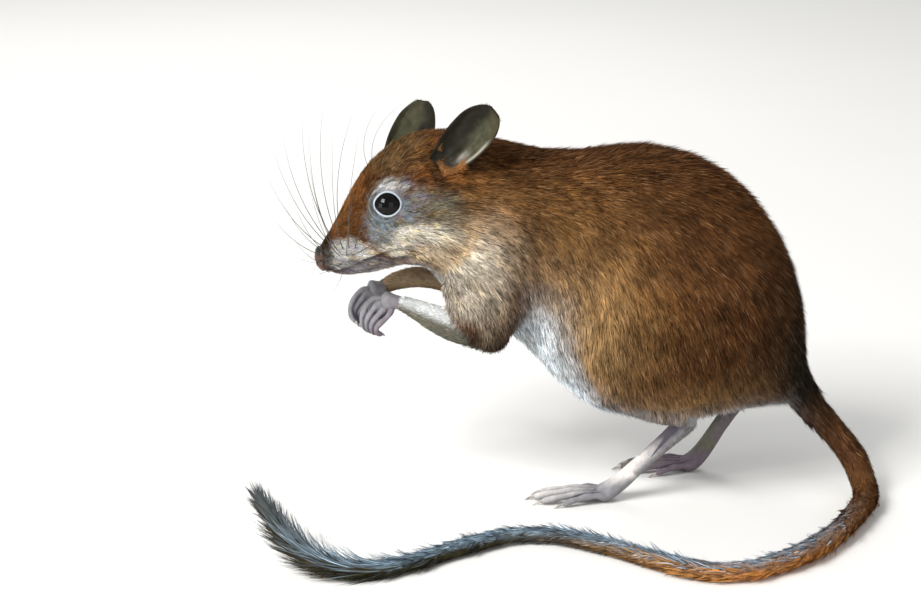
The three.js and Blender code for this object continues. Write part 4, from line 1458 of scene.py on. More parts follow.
class Groomer:
    """Sets tufts on the skin and makes the coat's meshes from them."""

    def __init__(self, skin: bpy.types.Object, plan: CoatPlan, parts: list[str]) -> None:
        """Reads the skin's triangles with their sizes and their places on the unwrap."""
        mesh = skin.data
        self.corners = read_triangles(mesh)
        loops = read_rows(mesh.loop_triangles, "loops", 3, np.int32)
        self.uv = read_rows(mesh.uv_layers["OFBake"].uv, "vector", 2)[loops]
        self.points = millimetres(read_points(mesh))
        self.normals = read_normals(mesh)
        a, b, c = (self.points[self.corners[:, n]] for n in range(3))
        self.area = np.linalg.norm(np.cross(b - a, c - a), axis=1) / 2
        self.plan = plan
        self.part = plan.part[self.corners[:, 0]]
        self.parts = parts
        self.random = np.random.default_rng(7)

    def sow(self, here: Array, density: Array) -> Tufts:
        """Draws roots at random over some of the skin's triangles.

        Args:
            here: a mask of triangles.
            density: tufts for each square millimetre of every triangle.

        Returns:
            The tufts, with no width yet.
        """
        wanted = self.area * density * here
        count = self.random.poisson(wanted)
        face = np.repeat(np.arange(len(wanted)), count)
        share = self.random.dirichlet((1.0, 1.0, 1.0), len(face))
        verts = self.corners[face]

        def mix(values: Array) -> Array:
            return np.einsum("nk,nkj->nj", share, values[verts])

        length = np.einsum("nk,nk->n", share, self.plan.length[verts])
        uv = np.einsum("nk,nkj->nj", share, self.uv[face])
        return Tufts(
            root=mix(self.points), normal=unit(mix(self.normals)), lie=mix(self.plan.lie),
            length=length, width=length * 0.0, colour=mix(self.plan.colour), uv=uv,
        )

    def streaks(self, root: Array, lie: Array, size: float, reach: float, seed: int) -> Array:
        """Noise with lumps of some size, drawn out over some reach along the way that the coat lies."""
        steps = np.linspace(-0.5, 0.5, 5) * reach
        return sum(wobble(root + lie * step, size, seed) for step in steps) / 2.6

    def style(self, tufts: Tufts, look: "CoatLook") -> Tufts:
        """Varies the tufts' way, length and colour, singly and in streaks."""
        count = len(tufts.root)
        clump = np.stack([wobble(tufts.root, 1.9, seed) for seed in (11, 12, 13)], axis=1)
        drift = np.stack([wobble(tufts.root, 7.0, seed) for seed in (21, 22, 23)], axis=1)
        stray = self.random.normal(0.0, 1.0, (count, 3))
        lie = tufts.lie + clump * look.clump + drift * look.drift + stray * look.stray
        lie = unit(lie - tufts.normal * np.sum(lie * tufts.normal, axis=1)[:, None])
        fine = self.streaks(tufts.root, lie, 0.6, 2.4, 31)
        broad = self.streaks(tufts.root, lie, 1.7, 6.0, 32)
        streak = 0.6 * fine + 0.6 * broad
        blotch = wobble(tufts.root, 5.5, 33) + 0.6 * wobble(tufts.root, 3.2, 34)
        single = self.random.normal(0.0, 1.0, count)
        bright = np.exp(look.contrast * (0.8 * streak + 0.6 * single) + look.blotch * blotch)
        kind = self.random.random(count)
        bright = np.where(kind < look.dark_share, bright * 0.42, bright)
        bright = np.where(kind > 1.0 - look.light_share, bright * 1.22, bright)
        pale = ((kind > 1.0 - look.light_share) * look.light_mix)[:, None]
        colour = tufts.colour * (1.0 - pale) + Fur.SAND.light * pale
        for number, tint in enumerate(look.tints):
            fleck = self.streaks(tufts.root, lie, look.fleck, look.fleck * 4.0, 41 + number)
            share = smoothstep(fleck, 0.15, 0.5)[:, None]
            colour = colour * (1.0 - share + np.array(tint) * share)
        colour = np.clip(colour * bright[:, None], 0.0, 1.0)
        length = tufts.length * self.random.uniform(0.7, 1.15, count)
        length = np.where(kind < look.dark_share, length * 1.12, length)
        width = np.minimum(look.width * (0.5 + 0.5 * length / 4.0), look.width)
        return Tufts(tufts.root, tufts.normal, lie, length, width, colour, tufts.uv)

    def mesh(self, name: str, tufts: Tufts, look: "CoatLook") -> bpy.types.Object:
        """One mesh of flat tapered blades, each with one bend.

        Args:
            name: the piece's name.
            tufts: its tufts.
            look: how they stand.

        Returns:
            The coat piece, with its colours and its bake map.
        """
        count = len(tufts.root)
        lift = np.radians(look.lift + self.random.normal(0.0, look.lift_spread, count))
        lay = np.radians(look.lay + self.random.normal(0.0, look.lift_spread * 0.6, count))
        at = tufts.root - tufts.normal * (0.12 * tufts.length + 0.1)[:, None]
        roll = self.random.normal(0.0, look.roll, count)
        side = np.cross(tufts.normal, tufts.lie)
        flat = unit(side * np.cos(roll)[:, None] + tufts.normal * np.sin(roll)[:, None])
        rows = []
        for step in range(2):
            half = flat * (tufts.width * BLADE_WIDTHS[step] / 2)[:, None]
            rows += [at - half, at + half]
            share = (step + 0.5) / 2
            angle = lift * (1.0 - share) + lay * share
            way = tufts.lie * np.cos(angle)[:, None] + tufts.normal * np.sin(angle)[:, None]
            at = at + way * (tufts.length * 0.5)[:, None]
        rows.append(at)
        points = np.stack(rows, axis=1)
        points[..., 2] = np.maximum(points[..., 2], HAIR_FLOOR)
        base = (np.arange(count) * 5)[:, None]
        quads = base + [0, 1, 3, 2]
        tips = base + [2, 3, 4]
        item = build_mesh(name, metres(points.reshape(-1, 3)), [quads, tips])
        # Each blade darkens towards its root: partly the hair's own darker base, partly painted shade deep
        # in the coat.
        shade = np.array([look.root_shade, look.root_shade, 0.95, 0.95, look.tip_shade])
        paint(item, "coat", np.clip(tufts.colour[:, None] * shade[None, :, None], 0.0, 1.0).reshape(-1, 3))
        self._bake_map(item, tufts.uv, quads, tips)
        dress(item, COAT_FINISH)
        log.info("%s: %d tufts", name, count)
        return item

    def _bake_map(self, item: bpy.types.Object, uv: Array, quads: Array, tips: Array) -> None:
        """Lays every tuft as a small patch at its root's place on the skin's unwrap."""
        shape = np.array([(0, 0), (1, 0), (0, 0.5), (1, 0.5), (0.5, 1)]) * BAKE_PATCH
        corners = np.concatenate([quads.ravel(), tips.ravel()])
        spot = np.clip(uv[corners // 5], BAKE_PATCH, 1.0 - BAKE_PATCH)
        spot = spot - BAKE_PATCH / 2 + shape[corners % 5]
        layer = item.data.uv_layers.new(name="OFBake")
        layer.uv.foreach_set("vector", spot.astype(np.float32).ravel())


@dataclass(frozen=True)
class CoatLook:
    """How a stretch of coat looks: its density, and how its tufts stand, stray and vary."""

    density: float = 15.0
    width: float = 0.25
    lift: float = 36.0
    lay: float = 14.0
    lift_spread: float = 7.0
    roll: float = 0.35
    clump: float = 0.14
    drift: float = 0.1
    stray: float = 0.12
    contrast: float = 0.2
    blotch: float = 0.2
    dark_share: float = 0.12
    light_share: float = 0.12
    light_mix: float = 0.1
    # Roots are painted darker, partly the hair's own darker base and partly painted shade between the
    # tufts.
    root_shade: float = 0.35
    tip_shade: float = 1.15
    tints: tuple[Point, ...] = ((0.62, 0.6, 0.58), (1.3, 1.26, 1.16))
    fleck: float = 1.0


@dataclass(frozen=True)
class Patch:
    """A piece of the coat: the parts that it covers, its look and its finish's slot, which is not used."""

    name: str
    parts: tuple[str, ...]
    look: CoatLook
    side: int = 0
    slot: str = "fur"


def both(*kinds: str) -> tuple[str, ...]:
    """The names of the left and right parts of some kinds."""
    return tuple(f"{kind}_{name}" for kind in kinds for name in SIDES)


BODY_LOOK = CoatLook()
FACE_LOOK = CoatLook(
    density=30.0, width=0.2, lift=34.0, lay=10.0, contrast=0.3,
    tints=((0.5, 0.48, 0.46), (0.82, 0.8, 0.96), (1.34, 1.38, 1.27), (1.1, 0.95, 0.72)), fleck=0.5,
)
LIMB_LOOK = CoatLook(
    density=17.0, width=0.2, lift=20.0, lay=3.0, clump=0.08, blotch=0.1, dark_share=0.06, tints=(),
)
PAW_LOOK = CoatLook(density=14.0, width=0.12, lift=16.0, lay=2.0, clump=0.08, blotch=0.1, tints=())
EAR_LOOK = CoatLook(
    width=0.13, lift=16.0, lay=4.0, clump=0.1, stray=0.14, light_share=0.04, root_shade=0.7, tip_shade=1.0,
)
TAIL_LOOK = CoatLook(density=12.0, width=0.22, lift=20.0, lay=8.0, contrast=0.34, dark_share=0.16)

PATCHES = (
    Patch("coat_head_left", ("head",), FACE_LOOK, LEFT),
    Patch("coat_head_right", ("head",), FACE_LOOK, RIGHT),
    Patch("coat_neck_left", ("neck", "upper_arm_left"), BODY_LOOK, LEFT),
    Patch("coat_neck_right", ("neck", "upper_arm_right"), BODY_LOOK, RIGHT),
    Patch("coat_body_left", ("torso",), BODY_LOOK, LEFT),
    Patch("coat_body_right", ("torso",), BODY_LOOK, RIGHT),
    Patch("coat_haunch_left", ("thigh_left",), BODY_LOOK),
    Patch("coat_haunch_right", ("thigh_right",), BODY_LOOK),
    Patch("coat_forearms", both("forearm"), LIMB_LOOK, slot="pale_fur"),
    Patch("coat_shanks", both("shank", "hock"), LIMB_LOOK, slot="pale_fur"),
    Patch("coat_paws", both("hand", "foot"), PAW_LOOK, slot="foot_skin"),
    Patch("coat_tail", TAIL_PARTS, TAIL_LOOK, slot="tail_fur"),
)


@dataclass(frozen=True)
class Coat:
    """All the coat's pieces, which leave the eyes and the hollows of the ears free."""

    eye_gap: float = 4.9
    ear_cover: float = 0.3

    def build(self, groomer: Groomer) -> list[bpy.types.Object]:
        """Makes every patch in order."""
        return [self._patch(groomer, patch) for patch in PATCHES]

    def _patch(self, groomer: Groomer, patch: Patch) -> bpy.types.Object:
        """Makes one piece of the coat."""
        numbers = [groomer.parts.index(name) for name in patch.parts]
        here = np.isin(groomer.part, numbers)
        if patch.side:
            middle = groomer.plan.straight[groomer.corners[:, 0], 1]
            here &= (middle >= 0.0) == (patch.side == RIGHT)
        middle = groomer.points[groomer.corners[:, 0]]
        for side in SIDES.values():
            here &= np.linalg.norm(middle - EYES.at(side), axis=1) > self.eye_gap
        for ear in EARS.values():
            here &= ear.covers(middle) < self.ear_cover
        tufts = groomer.sow(here, np.full(len(here), patch.look.density))
        tufts = groomer.style(tufts, patch.look)
        item = groomer.mesh(patch.name, tufts, patch.look)
        return item


# Ears


@dataclass(frozen=True)
class Ear:
    """A thin cupped ear: its root, the way up to its tip and the way out of its hollow."""

    root: Point
    up: Point
    face: Point
    length: float = 21.7
    width: float = 11.0
    foot: float = 0.42
    widest: float = 0.62
    cup: float = 3.0
    thickness: float = 0.5
    open: float = 4.5
    spare: float = 0.9
    pale: float = 0.3

    @property
    def axes(self) -> tuple[Array, Array, Array]:
        """The directions to the tip, out of the hollow and across to the rear edge."""
        rise = unit(np.array(self.up))
        out = np.array(self.face) - rise * (rise @ np.array(self.face))
        out = unit(out)
        return rise, out, np.cross(rise, out)

    def half_width(self, u: Array) -> Array:
        """Half the width at a share of the length."""
        below = self.foot + (1.0 - self.foot) * (1.0 - (1.0 - u / self.widest) ** 2)
        above = np.sqrt(np.maximum(1.0 - ((u - self.widest) / (1.0 - self.widest)) ** 2, 0.0))
        return self.width / 2 * np.where(u < self.widest, below, above)

    def sunk(self, u: Array, v: Array) -> Array:
        """How far the leaf lies behind its rim's plane, with the folds inside the cup."""
        hollow = self.cup * (1.0 - u**3) * smoothstep(u, -0.1, 0.35) * (1.0 - v**2)
        inner = smoothstep(u, 0.1, 0.3) * (1.0 - smoothstep(u, 0.55, 0.8))
        fold = 0.75 * np.exp(-(((v - 0.42 + 0.3 * u) / 0.13) ** 2)) * inner
        second = 0.45 * np.exp(-(((v + 0.25 - 0.3 * u) / 0.12) ** 2)) * inner
        lip = 0.7 * smoothstep(np.abs(v), 0.84, 1.0) * smoothstep(u, -0.3, 0.4)
        lip *= 1.0 - smoothstep(u, 0.7, 0.95)
        return hollow - fold - second - lip + 0.1 * np.sin(9.0 * v + 5.0 * u) * inner

    def measure(self, places: Array) -> tuple[Array, Array, Array]:
        """Shares along and across the ear, and millimetres before its leaf, of places near it."""
        rise, out, side = self.axes
        from_root = places - self.root
        height = from_root @ rise / self.length
        u = np.clip(height, 0.0, 0.99)
        v = from_root @ side / np.maximum(self.half_width(u), 1.0)
        return height, v, from_root @ out + self.sunk(u, np.clip(v, -1.0, 1.0))

    def locate(self, places: Array) -> tuple[Array, Array]:
        """Shares along and across the ear, from 0 to 1 and from -1 to 1, of places on it."""
        height, v, _ = self.measure(places)
        return np.clip(height, 0.0, 0.99), np.clip(v, -1.0, 1.0)

    def covers(self, places: Array) -> Array:
        """How far, from 0 to 1, each place lies before the hollow of the ear."""
        height, v, front = self.measure(places)
        within = smoothstep(height, -0.02, 0.06) * (1.0 - smoothstep(np.abs(v), 0.85, 1.1))
        return within * smoothstep(front, -2.0, -0.5) * (1.0 - smoothstep(front, 4.0, 6.0))

    def bare_hollow(self, places: Array) -> Array:
        """Places of the head's skin, pushed back behind the ear where they would fill its hollow."""
        height, v, front = self.measure(places)
        front = front + self.spare
        near = smoothstep(height, -0.12, 0.06) * (1.0 - smoothstep(v, 1.0, 1.3)) * smoothstep(v, -2.0, -1.0)
        push = np.clip(front, 0.0, 4.0) * near * (1.0 - smoothstep(front, self.open, self.open + 2.0))
        return places - self.axes[1] * push[:, None]

    def build(self, name: str) -> bpy.types.Object:
        """Makes the ear as a leaf with a rolled rim."""
        deselect()
        bpy.ops.mesh.primitive_grid_add(x_subdivisions=26, y_subdivisions=36, size=2.0)
        leaf = bpy.context.active_object
        leaf.name = leaf.data.name = name
        grid = read_points(leaf.data)
        v = grid[:, 0]
        u = 0.985 * np.sin((grid[:, 1] + 1.0) * math.pi / 4) ** 0.9
        rise, out, side = self.axes
        middle = self.root + rise * (u * self.length)[:, None]
        places = middle + side * (v * self.half_width(u))[:, None] - out * self.sunk(u, v)[:, None]
        write_points(leaf.data, metres(places))
        apply_modifier(leaf, "SOLIDIFY", thickness=self.thickness * MM, offset=0.0)
        apply_modifier(leaf, "SUBSURF", levels=1)
        with edit_mode(leaf):
            bpy.ops.mesh.normals_make_consistent(inside=False)
        while leaf.data.uv_layers:
            leaf.data.uv_layers.remove(leaf.data.uv_layers[0])
        unwrap(leaf)
        return leaf


EARS = {
    "left": Ear(root=(-6.0, -11.6, 85.2), up=(14.6, -4.4, 15.9), face=(-0.42, -0.88, 0.2), foot=0.5),
    "right": Ear(
        root=(-14.5, 3.4, 82.1), up=(5.2, 11.1, 15.0), face=(-0.3, -0.9, 0.35),
        length=19.4, width=11.8, foot=0.95, widest=0.35, open=1.5, pale=-0.55,
    ),
}


class EarPair:
    """Both ears with the down inside them and the fur at their roots."""

    def build(self) -> None:
        """Makes the ears and their coat."""
        for name, ear in EARS.items():
            leaf = ear.build(f"ear_leaf_{name}")
            plan = self._plan(leaf, ear)
            # The leaf is painted darker than its down, as shade beneath the hair.
            paint(leaf, "coat", plan.colour * 0.7)
            dress(leaf, EAR_FINISH)
            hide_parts(f"ear_{name}")
            groomer = Groomer(leaf, plan, ["ear"])
            thick = smoothstep(plan.length[groomer.corners[:, 0]], 0.7, 2.5)
            tufts = groomer.sow(np.ones(len(groomer.area), bool), 7.0 + 9.0 * thick)
            coat = groomer.mesh(f"coat_ear_{name}", groomer.style(tufts, EAR_LOOK), EAR_LOOK)

    def _plan(self, leaf: bpy.types.Object, ear: Ear) -> CoatPlan:
        """The ear's colours, and how its down lies."""
        places = millimetres(read_points(leaf.data))
        rise, out, side = ear.axes
        u, v = ear.locate(places)
        inside = smoothstep(read_normals(leaf.data) @ out, -0.2, 0.3)
        colour = np.tile(Fur.OLIVE.light, (len(places), 1))

        def lay(fur: Fur, share: Array) -> None:
            colour[:] = colour * (1.0 - share[:, None]) + fur.light * share[:, None]

        ragged = 0.1 * wobble(places, 1.4, 51) + 0.08 * wobble(places, 3.0, 52)
        toward = v * np.sign(ear.pale)
        # Painted shade: the front half and the foot of the hollow are painted near-black.
        lay(Fur.BLACKISH, 0.9 * (1.0 - smoothstep(toward + ragged + 0.5 * u, 0.0, 0.65)) * inside)
        lay(Fur.BLACKISH, 0.8 * (1.0 - smoothstep(u + ragged, 0.12, 0.3)) * inside)
        pale = np.exp(-(((u - 0.62) / 0.27) ** 2) - (((v - ear.pale) / 0.4) ** 2))
        lay(Fur.MOSS, np.clip(0.4 * pale + ragged, 0.0, 1.0) * inside)
        # Painted highlights: a pale spot on the lower fold and a cream stripe along the inner rear rim.
        spot = np.exp(-(((u - 0.3) / 0.09) ** 2) - (((v - 0.42) / 0.16) ** 2)) * (ear.pale > 0.0)
        lay(Fur.PEARL, np.clip(0.36 * spot * (1.0 + 2.0 * ragged), 0.0, 1.0) * inside)
        high = smoothstep(u, 0.26, 0.36) * (1.0 - smoothstep(u, 0.6, 0.75))
        stripe = np.exp(-(((v - 0.82) / 0.09) ** 2)) * high * (ear.pale > 0.0)
        lay(Fur.CREAM, 0.8 * stripe * inside)
        lay(Fur.RUSSET, (1.0 - inside) * (1.0 - smoothstep(u, 0.3, 0.8)))
        rim = np.maximum(smoothstep(np.abs(v), 0.9, 0.97), smoothstep(u, 0.955, 0.975))
        lay(Fur.UMBER, 0.75 * rim)
        root = 1.0 - smoothstep(u + ragged, 0.1, 0.42)
        front = 1.0 - smoothstep(v, -0.75, -0.35)
        tuft = root * (1.0 - inside) * (1.0 - 0.6 * front)
        lay(Fur.RUSSET, tuft)
        low = 1.0 - smoothstep(u + 0.5 * ragged, 0.06, 0.14)
        rear = smoothstep(v + ragged, 0.45, 0.68) * (1.0 - smoothstep(u, 0.26, 0.38))
        edge = np.maximum(low * smoothstep(v, -0.6, 0.0), rear) * inside
        lay(Fur.RUST, edge)
        tuft = np.maximum(tuft, 0.7 * edge)
        length = (0.6 + 0.5 * (1.0 - inside)) * (1.0 - 0.45 * rim) + 2.4 * tuft
        lie = rise + side * (v * 0.35 + 0.9 * edge)[:, None]
        part = np.zeros(len(places), int)
        return CoatPlan(part, places, lie, length, colour, u)


# The nose


@dataclass(frozen=True)
class Nose:
    """The bare pad of the nose, with its groove and two curled nostrils."""

    voxel: float = 0.16
    pad_colour: tuple[int, int, int] = (74, 50, 40)
    # Near-black, painted as the shade inside the nostrils
    nostril_colour: tuple[int, int, int] = (14, 9, 8)
    nostril: tuple[Point, ...] = (
        (-37.6, -0.8, 62.4), (-37.5, -1.7, 62.9), (-36.7, -2.4, 63.0), (-35.9, -2.8, 62.4),
    )

    def build(self, skin: Skin) -> bpy.types.Object:
        """Makes the nose over its measured shape."""
        nose = skin.swollen("nose")
        nose.name = nose.data.name = "nose_pad"
        apply_modifier(nose, "REMESH", mode="VOXEL", voxel_size=self.voxel * MM)
        edges = read_edges(nose.data)
        write_points(nose.data, relax(read_points(nose.data), edges, 0.6, 26))
        straight, _ = TURN.undo(millimetres(read_points(nose.data)))
        opening = Groove(np.array(self.nostril), 0.55, 1.1)
        middle = np.exp(-((straight[:, 1] / 0.35) ** 2)) * (1.0 - smoothstep(straight[:, 2], 62.5, 64.5))
        sunk = opening.sink(straight) + 0.3 * middle
        moved = read_points(nose.data) + read_normals(nose.data) * ((0.25 - sunk) * MM)[:, None]
        write_points(nose.data, relax(moved, edges, 0.2, 1))
        # The nostrils' openings are painted near-black, as the shade inside them.
        dark = np.clip(1.3 * opening.sink(straight), 0.0, 1.0)[:, None]
        top = smoothstep(straight[:, 2] + 0.5 * wobble(straight, 0.8, 61), 63.4, 65.6)[:, None]
        colour = linear(self.pad_colour) * (1.0 - top) + Fur.BLACKISH.light * top
        paint(nose, "coat", colour * (1.0 - dark) + linear(self.nostril_colour) * dark)
        unwrap(nose)
        dress(nose, NOSE_FINISH)
        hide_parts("nose")
        log.info("nose_pad: %d vertices", len(nose.data.vertices))
        return nose


# Whiskers


@dataclass(frozen=True)
class Whisker:
    """One whisker of the straight head's left side: its root, the way it leaves and its tip."""

    root: Point
    leave: Point
    tip: Point
    thickness: float = 0.22


WHISKERS = (
    Whisker((-33.2, -4.6, 66.6), (-0.5, -0.55, 0.7), (-42.0, -13.0, 92.0)),
    Whisker((-32.0, -5.4, 67.2), (-0.35, -0.6, 0.75), (-36.5, -15.0, 97.0)),
    Whisker((-30.6, -6.2, 67.6), (-0.2, -0.6, 0.8), (-30.5, -17.0, 98.5)),
    Whisker((-29.2, -7.0, 67.6), (0.0, -0.65, 0.75), (-22.0, -20.0, 95.5)),
    Whisker((-34.0, -4.4, 64.8), (-0.7, -0.6, 0.45), (-46.0, -13.5, 82.0)),
    Whisker((-32.8, -5.4, 65.2), (-0.5, -0.7, 0.5), (-43.5, -18.0, 88.0)),
    Whisker((-31.2, -6.3, 65.6), (-0.2, -0.8, 0.5), (-33.0, -22.0, 90.0)),
    Whisker((-29.6, -7.2, 65.6), (0.2, -0.85, 0.4), (-14.0, -25.5, 84.0)),
    Whisker((-34.4, -4.2, 62.8), (-0.8, -0.6, 0.2), (-45.5, -12.0, 72.0)),
    Whisker((-32.6, -5.6, 63.0), (-0.5, -0.85, 0.1), (-40.0, -20.0, 72.0)),
    Whisker((-30.6, -6.8, 63.4), (0.1, -0.95, 0.05), (-21.0, -25.5, 68.0)),
    Whisker((-28.6, -7.6, 64.0), (0.5, -0.85, 0.1), (-8.0, -24.0, 72.0)),
    Whisker((-34.6, -3.4, 61.4), (-0.8, -0.6, -0.25), (-42.0, -9.0, 63.0), 0.12),
    Whisker((-32.0, -4.8, 60.4), (-0.4, -0.8, -0.45), (-37.5, -12.0, 57.0), 0.12),
    Whisker((-22.4, -6.6, 84.6), (-0.2, -0.5, 0.8), (-17.0, -11.0, 99.0), 0.13),
    Whisker((-20.6, -8.0, 84.4), (0.0, -0.6, 0.8), (-10.0, -15.0, 98.0), 0.13),
)


class Whiskers:
    """The whiskers of both sides, as two pieces of tapered hairs."""

    def build(self) -> None:
        """Makes the two pieces."""
        for name, side in SIDES.items():
            form = Form()
            for whisker in WHISKERS:
                self._hair(form, whisker, side)
            piece = form.build(f"whiskers_{name}")
            dress(piece, WHISKER_FINISH)
            log.info("whiskers_%s", name)

    def _hair(self, form: Form, whisker: Whisker, side: int) -> None:
        """Adds one whisker, which leaves its root one way and bends towards its tip."""
        flip = np.array([1.0, -side, 1.0])
        root, tip = flip * whisker.root, flip * whisker.tip
        reach = np.linalg.norm(tip - root)
        control = root + flip * unit(np.array(whisker.leave)) * reach * 0.5
        t = np.linspace(-0.03, 1.0, 12)[:, None]
        line = root * (1 - t) ** 2 + control * 2 * t * (1 - t) + tip * t**2
        half = whisker.thickness / 2 * (1.04 - t) ** 0.8
        form.tube(np.hstack([TURN.apply(line), half, half]), np.array([0.3, 1.0, 0.2]), 5, 22)


# The tail's bristles and brush


@dataclass(frozen=True)
class Brush:
    """Bristles on the tail, which lengthen into a brush at its tip."""

    start: float = 0.16
    count: int = 9200
    clumps: int = 2300
    segments: int = 5
    dark_colour: tuple[int, int, int] = (44, 38, 40)
    dark_share: float = 0.35

    def build(self) -> bpy.types.Object:
        """Makes the bristles as one piece, in clumps that draw together at their tips."""
        random = np.random.default_rng(19)
        clump = random.integers(0, self.clumps, self.count)
        centre = self.start + (1.0 - self.start) * random.random(self.clumps) ** 0.66
        toward = random.uniform(-math.pi, math.pi, self.clumps)
        reach = random.uniform(0.6, 1.12, self.clumps)
        stand = random.uniform(0.3, 1.1, self.clumps)
        share = np.clip(centre[clump] + random.normal(0.0, 0.0028, self.count), self.start, 0.998)
        bushy = smoothstep(share, 0.74, 0.9)
        keep = random.random(self.clumps)[clump] < 0.42 + 0.58 * bushy
        clump, share, bushy = clump[keep], share[keep], bushy[keep]
        count = len(share)
        end = smoothstep(share, 0.93, 1.0)
        turn = toward[clump] + random.normal(0.0, 0.16, count)
        tip_turn, tip_share = toward[clump], np.minimum(centre[clump], 0.998)
        under = 1.0 - 0.5 * smoothstep(np.abs(turn), 1.9, 2.6)
        long = (4.2 + 8.0 * bushy) * reach[clump] * random.uniform(0.85, 1.08, count) * (1.0 - 0.15 * end)
        rise = (2.4 + 3.0 * bushy) * stand[clump] * (1.0 - 0.45 * end) * under
        width = 0.24 + 0.1 * random.random(count)
        rows = []
        for step in range(self.segments + 1):
            along = step / self.segments
            drawn = along**1.5
            here = share * (1.0 - drawn) + tip_share * drawn + long * along / TAIL.length
            middle, ahead, _ = TAIL.place(here)
            over, aside = TAIL.across(ahead)
            around = turn * (1.0 - drawn) + tip_turn * drawn
            out = over * np.cos(around)[:, None] + aside * np.sin(around)[:, None]
            _, _, radius = TAIL.place(share)
            away = (radius - 0.7) * (1.0 - 0.25 * along) + rise * along**1.25
            flat = np.cross(ahead, out)
            at = middle + out * away[:, None]
            half = flat * (width / 2 * (1.0 - along**1.6))[:, None]
            rows += [at - half, at + half] if step < self.segments else [at]
        points = np.stack(rows, axis=1)
        points[..., 2] = np.maximum(points[..., 2], HAIR_FLOOR)
        corners = 2 * self.segments + 1
        base = (np.arange(count) * corners)[:, None]
        quads = np.concatenate([base + 2 * step + [0, 1, 3, 2] for step in range(self.segments - 1)])
        tips = base + [corners - 3, corners - 2, corners - 1]
        brush = build_mesh("tail_brush", metres(points.reshape(-1, 3)), [quads, tips])
        colour = self._colour(random, share, turn, points)
        paint(brush, "coat", colour.reshape(-1, 3))
        layer = brush.data.uv_layers.new(name="OFBake")
        spot = np.stack([0.05 + 0.9 * (share - self.start) / (1.0 - self.start), 0.5 + turn / 7.0], axis=1)
        all_corners = np.concatenate([quads.ravel(), tips.ravel()])
        grow = np.stack([all_corners % corners % 2, all_corners % corners / corners], axis=1) * BAKE_PATCH
        layer.uv.foreach_set("vector", (spot[all_corners // corners] + grow).astype(np.float32).ravel())
        dress(brush, COAT_FINISH)
        log.info("tail_brush: %d bristles", count)
        return brush

    def _colour(self, random: np.random.Generator, share: Array, turn: Array, points: Array) -> Array:
        """Each bristle's colours from root to tip: dark outside, paler within the bend."""
        middle, ahead, radius = TAIL.place(share)
        over, aside = TAIL.across(ahead)
        out = over * np.cos(turn)[:, None] + aside * np.sin(turn)[:, None]
        base = tail_colour(middle + out * radius[:, None], share, random.normal(0.0, 0.3, len(share)))
        bright = np.exp(0.3 * random.normal(0.0, 1.0, len(share)))[:, None]
        darker = random.random(len(share)) < self.dark_share
        dark = (darker * 0.7 * smoothstep(share, 0.3, 0.5))[:, None]
        base = base * (1.0 - dark) + linear(self.dark_colour) * dark
        # Each bristle darkens towards its root: partly its own darker base, partly painted shade deep in
        # the brush.
        shade = np.linspace(0.75, 1.1, points.shape[1])[None, :, None]
        return np.clip(base[:, None] * bright[:, None] * shade, 0.0, 1.0)


# The eyes


